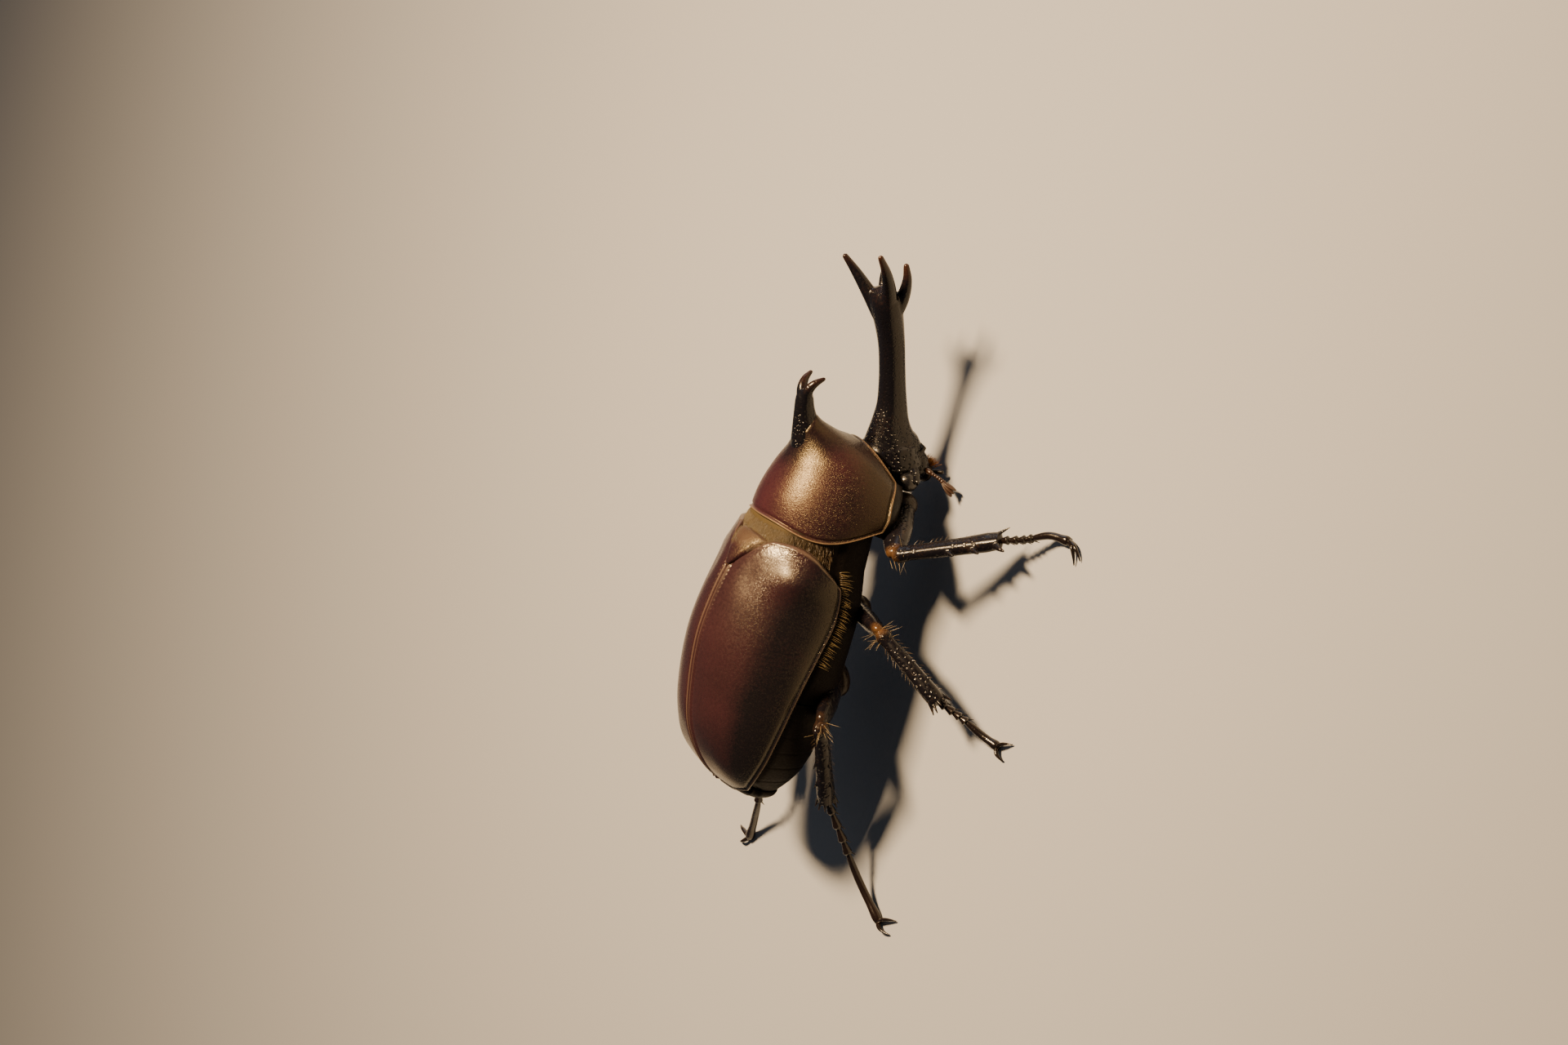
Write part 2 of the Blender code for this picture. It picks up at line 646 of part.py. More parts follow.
def pterothorax(shield, cases, underside):
    rings = [body_ring(f) for f in np.linspace(-3.85, 9.0, 5)]
    for f in np.linspace(10.5, 21.5, 7):
        near = min(max((f - 10.5) / 9.0, 0), 1.3)
        drop = 1.3 * max(near - 0.45, 0) ** 1.5
        moved = []
        for _, r, u in body_ring(min(f, 15.5)):
            high = min(max((u - 21.0) / 5.0, 0.0), 1.0)
            rise = 1.35 * min(near, 1.0) * high * high * (3 - 2 * high)
            moved.append((f, r * (1 - 0.10 * near), u + rise - drop * max(u - 20, 0) / 3))
        rings.append(moved)
    verts, faces = skin(rings)
    obj = make("pterothorax", verts, faces, belly_brown())
    for case in cases:
        carve(obj, case)
    carve(obj, shield)
    carve(obj, underside)
    return finish(obj)


def scutellum_plate():
    """Triangular shield between the roots of the elytra."""
    outer, inner = [], []
    for i in range(9):
        a = -1 + 2 * i / 8
        upper, lower = [], []
        for j in range(7):
            v = j / 6
            half = 0.25 + 3.75 * (1 - v) ** 0.85
            f = 17.2 - 5.4 * v - 0.5 * a * a * (1 - v)
            r = half * a
            u = 28.15 + 2.1 * math.sin(v * math.pi / 2) ** 0.8 - 0.9 * a * a * (1 - v)
            upper.append(np.array((f, r, u)))
            lower.append(np.array((f, r * 0.96, u - 0.9)))
        outer.append(upper)
        inner.append(lower)
    verts, faces = shell(outer, inner)
    return make("scutellum", verts, faces, shield_brown())


def scutellum(cases, shield):
    obj = scutellum_plate()
    for case in cases:
        carve(obj, case)
    carve(obj, shield)
    return finish(obj)


# Legs

def leg_frame(leg):
    hip, knee, ankle = [np.array(leg[k], float) for k in ("hip", "knee", "ankle")]
    return hip, knee, ankle


def coxa(kind, name, leg, bodies):
    hip, knee, _ = leg_frame(leg)
    side = 1 if hip[1] > 0 else -1
    radii = {"fore": (2.5, 1.9, 2.2), "mid": (2.6, 2.1, 1.8), "hind": (3.6, 2.2, 1.7)}[kind]
    ahead = {"fore": 0.28, "mid": 0.16, "hind": -0.33}[kind]
    lean = (ahead, side, 0.1)
    obj = make("coxa_" + name, *ellipsoid(hip, radii, 7, 10, lean), leg_black())
    for body in bodies:
        carve(obj, body)
    return finish(obj)


def femur(kind, name, leg, hip_part, bodies):
    hip, knee, ankle = leg_frame(leg)
    thick = FEMUR_DEPTH[kind]
    axis = knee - hip
    start = hip + axis * 0.12
    path = [start + (knee - start) * t for t in (0, 0.12, 0.3, 0.5, 0.72, 0.88, 0.97)]
    depth = [0.75, 1.0, 0.98, 1.0, 0.88, 0.68, 0.52]
    sizes = [(thick * d * 0.66, thick * d) for d in depth]
    normal = np.cross(axis, ankle - knee)
    obj = make("femur_" + name, *tube(path, sizes, 10, np.cross(normal, axis)), leg_black())
    carve(obj, hip_part)
    for body in bodies:
        carve(obj, body)
    return finish(obj)


def tibia(kind, name, leg, thigh):
    _, knee, ankle = leg_frame(leg)
    axis = ankle - knee
    length = float(np.linalg.norm(axis))
    ahead = axis / length
    end = TIBIA_END[kind]
    hip = np.array(leg["hip"], float)
    outer = -(hip - knee) + ahead * float((hip - knee) @ ahead)
    outer = outer / np.linalg.norm(outer)
    side = np.cross(ahead, outer)
    path = [knee + axis * t for t in (0.0, 0.06, 0.16, 0.4, 0.65, 0.86, 0.96)]
    sizes = [(0.95, 1.15), (1.15, 1.4), (1.0, 1.3), (1.05, 1.3), (1.1, end * 0.95), (1.2, end * 1.05),
             (1.1, end * 0.95)]
    obj = make("tibia_" + name, *tube(path, sizes, 8, outer), leg_black())
    pieces = []
    if kind == "fore":
        for t, size in ((0.5, 1.0), (0.72, 1.35), (0.94, 1.7)):
            root = knee + axis * t + outer * end * 0.5
            pieces.append(spine(root, outer * 0.9 + ahead * 0.55, size + end * 0.55, 0.75, 6))
    else:
        for t, size in ((0.42, 0.9), (0.66, 1.1)):
            for lean in (-0.5, 0.5):
                root = knee + axis * t + outer * 0.6 + side * lean * 0.6
                pieces.append(spine(root, outer * 0.8 + side * lean * 0.8 + ahead * 0.9, size + 0.6, 0.42))
        for k in range(4):
            t = math.radians(-90 + 60 * k)
            lean = outer * math.cos(t) + side * math.sin(t)
            pieces.append(spine(ankle + lean * 0.75 - ahead * 1.0, ahead + lean * 0.45, 2.0, 0.45))
    for lean, size in ((0.55, 2.3), (-0.55, 1.8)):
        root = ankle - ahead * 0.9 - outer * 0.55 + side * lean
        pieces.append(spine(root, ahead - outer * 0.55 + side * lean * 0.5, size, 0.36))
    fuse(obj, pieces)
    carve(obj, thigh)
    return finish(obj)


def tarsomeres(leg):
    """Five joints of the foot with a spine under each of the first four."""
    _, knee, ankle = leg_frame(leg)
    ahead = (ankle - knee) / np.linalg.norm(ankle - knee)
    line = path_points([ankle - ahead * 0.4] + [np.array(p, float) for p in leg["toes"]], 101)
    r = TARSUS_RADIUS
    pieces = []
    for k in range(5):
        a, b = line[round(TARSUS_JOINTS[k] * 100)], line[round(TARSUS_JOINTS[k + 1] * 100)]
        d = b - a
        if k < 4:
            path = [a - d * 0.08, a + d * 0.5, a + d * 0.93]
            pieces.append(tube(path, [(r * 0.68, r * 0.68), (r * 0.95, r * 0.95), (r * 1.3, r * 1.3)], 6))
            down = np.array((0, 0, -1.0))
            lean = d / np.linalg.norm(d) + down * 0.75
            pieces.append(spine(a + d * 0.8 + down * r * 0.6, lean, 1.0, 0.26, 4))
        else:
            first = round(TARSUS_JOINTS[4] * 100)
            path = [line[first - 2], line[first + 12], line[first + 30], line[97], line[100]]
            sizes = [(r * x, r * x) for x in (0.68, 0.9, 0.95, 1.15, 1.5)]
            pieces.append(tube(path, sizes, 6))
    return pieces


def claw_path(root, tip, bow):
    """Curved line of a claw from its root over a low arch to its tip; bow moves its middle to one side."""
    way = tip - root
    rise = np.array((0, 0, 0.4))
    return [root - way * 0.06, root + way * 0.35 + bow + rise, root + way * 0.72 + bow * 0.75 + rise * 0.6,
            root + way * 0.88 + bow * 0.3]


def claws(kind, leg):
    """Two hooked claws at the end of the foot."""
    root = np.array(leg["toes"][-1], float)
    tips = [np.array(p, float) for p in leg["claws"]]
    pieces = []
    for k in (0, 1):
        away = tips[k] - tips[1 - k] if kind != "fore" else tips[0] - tips[1]
        bow = away / np.linalg.norm(away) * CLAW_BOW[kind]
        path = claw_path(root, tips[k], bow)
        sizes = [(CLAW_RADIUS, CLAW_RADIUS), (0.38, 0.38), (0.28, 0.3), (0.22, 0.24)]
        pieces.append(tube(path, sizes, 5, (0, 0, 1), 0.35))
    return pieces


def tarsus(kind, name, leg, shin):
    pieces = tarsomeres(leg)
    obj = make("tarsus_" + name, *pieces[0], foot_black())
    fuse(obj, pieces[1:] + claws(kind, leg))
    carve(obj, shin)
    trim(obj, (0, 0, 0), (0, 0, -1))
    return finish(obj)


def build_leg(name, leg, bodies):
    kind = name.split("_")[0]
    hip_part = coxa(kind, name, leg, bodies)
    thigh = femur(kind, name, leg, hip_part, bodies)
    shin = tibia(kind, name, leg, thigh)
    foot = tarsus(kind, name, leg, shin)
    return [hip_part, thigh, shin, foot]


def centre_on_floor(objects):
    """Moves every part so that the middle of the whole one's base is the origin."""
    pts = np.array([v.co[:] for obj in objects for v in obj.data.vertices])
    low, high = pts.min(0), pts.max(0)
    shift = Vector((-(low[0] + high[0]) / 2, -(low[1] + high[1]) / 2, -low[2]))
    for obj in objects:
        obj.location = shift


def build():
    for obj in list(bpy.data.objects):
        bpy.data.objects.remove(obj, do_unlink=True)
    parts = []
    cases = elytra()
    shield = pronotum()
    underside = prosternum(shield)
    thorax = pterothorax(shield, cases, underside)
    belly = abdomen()
    tail = pygidium(cases)
    plate = scutellum(cases, shield)
    carve(thorax, plate)
    finish(thorax)
    parts += [*cases, shield, underside, thorax, belly, tail, plate]
    parts.append(pronotal_horn(shield))
    skull = head(shield, underside)
    horn = head_horn()
    parts += [skull, horn, *eyes(shield, underside), mouthparts(skull)]
    parts += [antenna("antenna_right", 1, skull), antenna("antenna_left", -1, skull)]
    for name, leg in LEGS.items():
        bodies = [underside, shield] if name.startswith("fore") else [thorax, belly]
        parts += build_leg(name, leg, bodies)
    centre_on_floor(parts)


build()
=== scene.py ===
import math

import bmesh
import bpy
import numpy as np
from mathutils import Matrix, Vector


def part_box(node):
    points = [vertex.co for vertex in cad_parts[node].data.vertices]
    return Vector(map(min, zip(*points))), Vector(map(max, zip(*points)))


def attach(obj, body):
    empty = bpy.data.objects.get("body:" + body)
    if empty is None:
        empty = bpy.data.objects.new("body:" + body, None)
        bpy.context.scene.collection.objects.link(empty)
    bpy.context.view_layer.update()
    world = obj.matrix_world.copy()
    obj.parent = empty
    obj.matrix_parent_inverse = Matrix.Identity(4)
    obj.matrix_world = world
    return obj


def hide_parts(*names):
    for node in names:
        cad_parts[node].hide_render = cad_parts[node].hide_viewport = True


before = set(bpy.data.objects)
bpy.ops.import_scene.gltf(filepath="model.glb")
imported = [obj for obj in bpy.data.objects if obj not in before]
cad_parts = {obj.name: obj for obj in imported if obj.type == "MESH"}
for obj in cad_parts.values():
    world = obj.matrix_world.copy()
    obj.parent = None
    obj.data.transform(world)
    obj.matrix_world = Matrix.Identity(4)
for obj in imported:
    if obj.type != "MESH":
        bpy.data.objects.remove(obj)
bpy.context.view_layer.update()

# A male Japanese rhinoceros beetle, life size. Points are (forward, right, up) in millimetres from the middle
# of the back line, as in the part's own source, and become metres in the row frame when a mesh is made.
MM = 0.001
CAD_HALF_GAP = 0.15  # half the gap between neighbouring solids
ABDOMEN = (-4.15, -19.2)  # front and rear end
SHIFT = np.array((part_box("elytron_right")[1][0] + CAD_HALF_GAP * MM,
                  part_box("abdomen")[1][1] + ABDOMEN[1] * MM, 0.0))
RNG = np.random.default_rng(7)

SIDES = (("right", 1), ("left", -1))
SEAM = 0.06  # open between the wing cases
SHELL = 0.9  # depth of the turned-in rims
WIDEST_AT, WIDEST_HALF = 3, 12.9  # where the body is widest, and half its width there
ELYTRA_REAR = -20.5
# Wing cases: (forward, up), front edge (right, forward), bumps (height, forward, spread, right, spread)
BACK_LINE = [(-20.6, 20.6), (-19.6, 22.6), (-17.8, 25.1), (-15, 27.5), (-11.5, 29.4), (-7, 30.6),
             (-2, 31.4), (2, 31.6), (7, 31.1), (11, 30.3), (15, 29), (18, 27.4)]
SIDE_MARGIN = [(-20.6, 19.6), (-18, 21.2), (-13, 21.5), (-8, 21.2), (-2, 20.3), (4, 19),
               (8.5, 18), (12, 18.2), (16, 19.4), (18, 20.4)]
ELYTRON_FRONT_EDGE = [(0, 11.3), (2, 14), (4.4, 17), (6.5, 17.7), (9, 17.7), (10.8, 16.9),
                      (11.8, 15.2)]
SUTURE_NOTCH = 0.65  # depth of the notch between the rear ends
ELYTRON_BUMPS = [(0.8, 12.9, 2.2, 10.3, 2), (0.3, -15.6, 2.4, 6.2, 2.2), (-0.16, 11.2, 2.6, 5, 1.5)]
# Thorax shield, with v from rear to front: side (v, forward, right, up), top (v, forward, up)
PRONOTUM_SIDE = [(0, 22.3, 11.3, 13.7), (0.25, 24.1, 11.3, 13.1), (0.5, 26.1, 10.5, 12.8),
                 (0.75, 27.9, 9.1, 12.1), (1, 28.9, 7.4, 11.4)]
PRONOTUM_TOP = [(0, 19.6, 27.4), (0.18, 22.9, 27), (0.36, 26.3, 26), (0.52, 29.4, 24.7),
                (0.66, 32, 23.2), (0.78, 33.5, 20.5), (0.9, 33.4, 17.2), (1, 33, 14.8)]
# Horn stems: (forward, up, half height, half width)
HEAD_HORN_STEM = [(32.4, 9.2, 4.5, 3.9), (33.3, 9.5, 4.2, 3.5), (34.6, 10, 3.4, 2.9), (36.4, 10.5, 2.7, 2.35),
                  (38.6, 11, 2.2, 2), (41.2, 11.8, 1.95, 1.85), (44.2, 12.8, 1.85, 1.8),
                  (47.2, 13.9, 1.85, 1.9), (49.8, 15.1, 1.95, 2.2), (52, 16.3, 2.05, 2.6),
                  (53.6, 17.3, 1.95, 2.7), (54.6, 17.9, 1.4, 2.1)]
TINES = [[(51.6, 0.8, 16.4), (54.9, 2.3, 18.2), (57.6, 3.7, 20.4), (59.7, 4.6, 22.6)],
         [(51.2, -0.8, 16.6), (53.8, -2.4, 18.8), (56, -3.8, 20.8), (57.7, -4.8, 22.6)],
         [(51, 0.6, 15.7), (54.2, 1.7, 15.4), (57, 2.4, 15.9), (59.1, 2.3, 16.7)],
         [(51.2, -0.6, 15.9), (53.8, -1.5, 16.4), (55.9, -2.1, 16.9), (57.3, -1.9, 17.4)]]
TINE_RADII = [1.35, 1.05, 0.75, 0.4]
THORAX_HORN = [(29.8, 21.6, 2.9, 3), (31.6, 22.8, 2.5, 2.4), (33.6, 24, 1.95, 1.75),
               (35.8, 24.95, 1.5, 1.4), (37.4, 25.4, 1.25, 1.4), (38.3, 25.5, 0.9, 1.25)]
THORAX_PRONG = [(37.1, 0.35, 25.4), (38.6, 0.9, 25.7), (39.8, 1.45, 25.3), (40.9, 2, 24.3)]
THORAX_PRONG_RADII = [0.97, 0.78, 0.56, 0.28]
EYE = ((28.9, 5, 7.9), (1.35, 1.25, 1.45))
# First and last step along the feeler, radius
ANTENNA_BEADS = [(0, 7, 0.4), (7, 9, 0.27), (9, 11, 0.25), (11, 13, 0.27), (13, 15, 0.3), (15, 17, 0.34),
                 (17, 18, 0.42)]
ABDOMEN_RING = 2.6  # length of one ring
BELLY = [(-20.5, 15.2), (-19.2, 13.3), (-17.5, 11.7), (-15, 10.7), (-11, 10.1), (-4, 9.9), (4, 10.2),
         (12, 10.6), (16, 10.8), (20.5, 11.4)]
# Hip, knee, ankle, three points of the foot and the tips of its two claws
LEGS = {
    "fore_right": [(25.4, 4.4, 7.4), (20.4, 15, 13.3), (27.7, 27, 4.7), (29, 30, 3.1),
                   (30.8, 33.2, 1.7), (31.1, 36.2, 0.45), (29.2, 39.7, 0.3), (28.2, 38.6, 0.3)],
    "mid_right": [(9.2, 4.6, 9.8), (9.6, 17.5, 13.5), (3.2, 26.9, 7), (2, 29.3, 3.9),
                  (0.8, 31.7, 1.8), (0.2, 34.2, 0.45), (1.7, 37.3, 0.3), (-1.2, 36.2, 0.3)],
    "hind_right": [(-1.4, 4.6, 10), (-5.3, 15.5, 17.5), (-17.7, 11.9, 10.5), (-22.7, 12.9, 6.8),
                   (-28.4, 14.6, 2.9), (-32.8, 18.8, 0.45), (-31, 22.9, 0.3), (-33.4, 22.2, 0.3)],
    "fore_left": [(25.4, -4.4, 7.4), (19.6, -15.4, 12.6), (20.2, -28.4, 4.6), (20, -31.8, 3.1),
                  (19.9, -34.6, 1.7), (19.4, -37.2, 0.45), (17.3, -40.4, 0.3), (16.6, -39.2, 0.3)],
    "mid_left": [(9.2, -4.6, 9.8), (8.9, -17.3, 13.4), (1.6, -26.2, 7), (0, -28.5, 3.9),
                 (-1.5, -30.8, 1.8), (-2.4, -33.3, 0.45), (-1.2, -36.5, 0.3), (-3.9, -35.6, 0.3)],
    "hind_left": [(-1.4, -4.6, 10), (-6.4, -15.3, 16.6), (-19.4, -12.4, 9.4), (-25.6, -12.9, 6.2),
                  (-31.4, -17.2, 2.8), (-35.8, -20.8, 0.45), (-35.2, -24.6, 0.3), (-37.4, -23.4, 0.3)],
}
FEMUR_DEPTH = {"fore": 2.15, "mid": 2, "hind": 2.15}
TIBIA_END = {"fore": 1.5, "mid": 1.45, "hind": 1.45}
KNEE_TONE = {"fore": 0.85, "mid": 0.8, "hind": 0.25}
COXA_RADII = {"fore": (2.5, 1.9, 2.2), "mid": (2.6, 2.1, 1.8), "hind": (3.6, 2.2, 1.7)}
COXA_LEAN = {"fore": 0.28, "mid": 0.16, "hind": -0.33}
KNEE_HAIRS = {"fore": 10, "mid": 20, "hind": 10}
BRISTLE_ROWS = {"fore": (-2.3, 2.3), "mid": (-2.2, -1.2, 1.2, 2.2), "hind": (-2.2, -1.2, 1.2, 2.2)}
# Ends of the foot's joints, and the thickness of a joint with its share at steps along it
TARSUS_JOINTS = [0, 0.13, 0.25, 0.36, 0.46, 1]
SHORT_JOINT = (0.50, (0, 0.2, 0.55, 0.88, 1), (0.55, 0.72, 1, 1.32, 0.95))
LONG_JOINT = (0.53, (0, 0.1, 0.3, 0.75, 0.94, 1), (0.55, 0.85, 1, 1.08, 1.38, 1.1))
CLAW_BOW = {"fore": 0.9, "mid": 0.3, "hind": 0.35}

BLACK, CLAW_BROWN = (0.005, 0.0035, 0.003), (0.012, 0.006, 0.004)
HORN_COLOURS = ((0.0045, 0.0038, 0.0052), (0.05, 0.018, 0.009))
CAMERA_AT = (114.8, 415.0, 278.9)
FLOOR_HALF = 2.5


# Curves and vectors

def curve(table, x, column=1):
    """Smooth curve through the rows of a table, for one value or an array."""
    xs, ys = np.array(table, float)[:, (0, column)].T
    x = np.clip(x, xs[0], xs[-1])
    i = np.clip(np.searchsorted(xs, x, side="right") - 1, 0, len(xs) - 2)
    k = np.arange(len(xs))
    low, high = np.maximum(k - 1, 0), np.minimum(k + 1, len(xs) - 1)
    slope = (ys[high] - ys[low]) / (xs[high] - xs[low])
    h = xs[i + 1] - xs[i]
    t = (x - xs[i]) / h
    a, b = slope[i] * h, slope[i + 1] * h
    return ((2 * t ** 3 - 3 * t ** 2 + 1) * ys[i] + (t ** 3 - 2 * t ** 2 + t) * a
            + (3 * t ** 2 - 2 * t ** 3) * ys[i + 1] + (t ** 3 - t ** 2) * b)


def unit(v):
    v = np.asarray(v, float)
    return v / np.maximum(np.linalg.norm(v, axis=-1, keepdims=True), 1e-9)


def path_points(points, count):
    """Points on a smooth curve through a few points, evenly spaced along it."""
    steps = np.linalg.norm(np.diff(points, axis=0), axis=1)
    rows = np.column_stack((np.append(0, np.cumsum(steps)), points))
    at = np.linspace(0, rows[-1, 0], count)
    return np.stack([curve(rows, at, k) for k in range(1, rows.shape[1])], axis=1)


def bell(x, width):
    return np.exp(-(x / width) ** 2)


def smooth(x, low, high):
    t = np.clip((x - low) / (high - low), 0, 1)
    return t * t * (3 - 2 * t)


def stations(*spans):
    """Places along a line, from spans (start, end, count) that meet end to start."""
    parts = [np.linspace(*span) for span in spans]
    return np.concatenate(parts[:1] + [part[1:] for part in parts[1:]])


# Meshes

def to_row(points):
    """Millimetre points to metres in the row frame."""
    p = np.asarray(points, float).reshape(-1, 3)
    return np.stack((-p[:, 1], -p[:, 0], p[:, 2]), axis=1) * MM + SHIFT


def on_floor(verts):
    """Points below the floor raised to it."""
    return np.maximum(verts, (-math.inf, -math.inf, 0.0))


def placed(name, data):
    obj = bpy.data.objects.new(name, data)
    bpy.context.collection.objects.link(obj)
    return obj


def solid(name, verts, faces):
    """Object with its faces turned outward."""
    mesh = bpy.data.meshes.new(name)
    mesh.from_pydata(verts.tolist(), [], faces)
    work = bmesh.new()
    work.from_mesh(mesh)
    bmesh.ops.recalc_face_normals(work, faces=work.faces)
    work.to_mesh(mesh)
    work.free()
    return placed(name, mesh)


def make(name, verts, faces, mat, nodes=(), slot=None, **marks):
    """Piece from millimetre points. Marks are values for its material, one for all points or one for each."""
    obj = solid(name, to_row(verts), faces)
    for key, values in marks.items():
        layer = obj.data.attributes.new(key, "FLOAT", "POINT")
        layer.data.foreach_set("value", (np.ravel(values) * np.ones(len(verts))).astype(np.float32))
    obj.data.shade_smooth()
    obj.data.materials.append(mat)
    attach(obj, "root")
    if nodes:
        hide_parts(*nodes)
    return obj


def skin(rings, start=None, end=None):
    """Closed surface over rings of equal length, with fans on start and end or on the rings' middles."""
    rings = np.asarray(rings, float)
    rows, count = rings.shape[:2]
    verts = rings.reshape(-1, 3)
    j = np.arange(count)
    k = (j + 1) % count
    faces = []
    for row in range(0, (rows - 1) * count, count):
        faces += np.stack((row + j, row + k, row + count + k, row + count + j), 1).tolist()
    for ring, first, tip in ((rings[0], 0, start), (rings[-1], (rows - 1) * count, end)):
        verts = np.vstack((verts, ring.mean(0) if tip is None else tip))
        faces += [(first + a, first + b, len(verts) - 1) for a, b in zip(j.tolist(), k.tolist())]
    return verts, faces


def sheet(grid):
    """Faces of an open grid of points."""
    at = np.arange(grid.shape[0] * grid.shape[1]).reshape(grid.shape[:2])
    return np.stack((at[:-1, :-1], at[1:, :-1], at[1:, 1:], at[:-1, 1:]), -1).reshape(-1, 4).tolist()


def frames(points, up):
    """Side and up directions carried along a path."""
    found, lean = [], np.array(up, float)
    for i in range(len(points)):
        ahead = unit(points[min(i + 1, len(points) - 1)] - points[max(i - 1, 0)])
        lean = unit(lean - ahead * (lean @ ahead))
        found.append((np.cross(ahead, lean), lean))
    return found


def tube(points, sizes, sides, up=(0, 0, 1), tip=0.0, square=1.0):
    """Closed limb; sizes are (side, up) half widths; square below 1 makes its section boxier."""
    points = np.asarray(points, float)
    t = 2 * math.pi * np.arange(sides) / sides
    c, s = np.cos(t), np.sin(t)
    c, s = np.sign(c) * np.abs(c) ** square, np.sign(s) * np.abs(s) ** square
    rings = [p + np.outer(c * a, side) + np.outer(s * b, lean)
             for p, (side, lean), (a, b) in zip(points, frames(points, up), sizes)]
    start = points[0] - unit(points[1] - points[0]) * min(sizes[0]) * 0.5
    end = points[-1] + unit(points[-1] - points[-2]) * (tip or min(sizes[-1]) * 0.5)
    return skin(rings, start, end)


def middle_limb(rows, sides, square=1.0):
    """Limb in the middle plane; rows are forward, up, half its height and half its width."""
    points = np.stack((rows[:, 0], np.zeros(len(rows)), rows[:, 1]), 1)
    return tube(points, rows[:, [3, 2]], sides, square=square)


def prong(points, radii, count, sides, tip):
    """Round limb through four points, each with a radius."""
    sizes = np.interp(np.linspace(0, 3, count), range(4), radii)
    return tube(path_points(points, count), np.stack((sizes, sizes), 1), sides, tip=tip)


def ellipsoid(centre, radii, rows, sides, lean=(1, 0, 0)):
    """Closed form whose first radius lies along lean."""
    centre, a = np.array(centre, float), unit(lean)
    c = unit(np.array((0, 0, 1.0)) - a * a[2])
    b = np.cross(a, c)
    t = 2 * math.pi * np.arange(sides) / sides
    belt = np.outer(np.cos(t), b * radii[1]) + np.outer(np.sin(t), c * radii[2])
    rings = [centre + a * radii[0] * math.cos(s) + belt * math.sin(s)
             for s in math.pi * np.arange(1, rows) / rows]
    return skin(rings, centre + a * radii[0], centre - a * radii[0])


def spine(root, direction, length, radius, bend=(0, 0, 0), sides=10):
    """Curved tapered spine sunk in the surface."""
    root, d = np.array(root, float), unit(direction)
    t = np.linspace(-0.25, 0.95, 7)
    pts = root + np.outer(t, d) * length + np.outer(np.maximum(t, 0) ** 2, bend) * length
    sizes = [(radius * (1 - 0.78 * max(x, 0)),) * 2 for x in t]
    up = (0, 0, 1) if abs(d[2]) < 0.9 else (1, 0, 0)
    return tube(pts, sizes, sides, up, radius * 0.4)


def joined(parts):
    """Several (verts, faces) as one."""
    verts, faces, start = [], [], 0
    for v, f in parts:
        verts.append(v)
        faces += [tuple(i + start for i in face) for face in f]
        start += len(v)
    return np.vstack(verts), faces


def melted(parts, voxel, rounds, factor=0.6):
    """Overlapping closed forms as one smooth skin, still in millimetres."""
    obj = solid("melting", *joined(parts))
    step = obj.modifiers.new("remesh", "REMESH")
    step.mode = "VOXEL"
    step.voxel_size = voxel
    soft = obj.modifiers.new("soft", "SMOOTH")
    soft.factor = factor
    soft.iterations = rounds
    bpy.context.view_layer.update()
    done = obj.evaluated_get(bpy.context.evaluated_depsgraph_get()).to_mesh()
    verts = np.empty(len(done.vertices) * 3)
    done.vertices.foreach_get("co", verts)
    faces = [tuple(p.vertices) for p in done.polygons]
    bpy.data.objects.remove(obj)
    return verts.reshape(-1, 3), faces


# Materials

def fill(tree, made, inputs):
    """Sets or links the inputs of a node; a tuple is a colour."""
    for key, value in inputs.items():
        if isinstance(value, bpy.types.NodeSocket):
            tree.links.new(value, made.inputs[key])
        else:
            made.inputs[key].default_value = (*value, 1) if isinstance(value, tuple) else value


def surface(name, inputs):
    """New material, its node tree and its shader."""
    mat = bpy.data.materials.new(name)
    mat.use_nodes = True
    shader = mat.node_tree.nodes["Principled BSDF"]
    fill(mat.node_tree, shader, inputs)
    return mat, mat.node_tree, shader


def node(tree, kind, inputs, **settings):
    made = tree.nodes.new("ShaderNode" + kind)
    for key, value in settings.items():
        setattr(made, key, value)
    fill(tree, made, inputs)
    return made


def mark(tree, key):
    """The values that a piece was given under this name."""
    return node(tree, "Attribute", {}, attribute_name=key).outputs["Fac"]


def calc(tree, kind, a, b):
    return node(tree, "Math", {0: a, 1: b}, operation=kind).outputs[0]


def mixed(tree, amount, a, b):
    return node(tree, "Mix", {0: amount, 6: a, 7: b}, data_type="RGBA").outputs[2]


def ranged(tree, value, low, high, to_low=0.0, to_high=1.0):
    return node(tree, "MapRange", {0: value, 1: low, 2: high, 3: to_low, 4: to_high}).outputs[0]


def noise(tree, where, scale, detail, distortion=0.0):
    return node(tree, "TexNoise", {"Vector": where, "Scale": scale, "Detail": detail,
                                             "Distortion": distortion}).outputs[0]


def cells(tree, where, scale):
    return node(tree, "TexVoronoi", {"Vector": where, "Scale": scale}).outputs


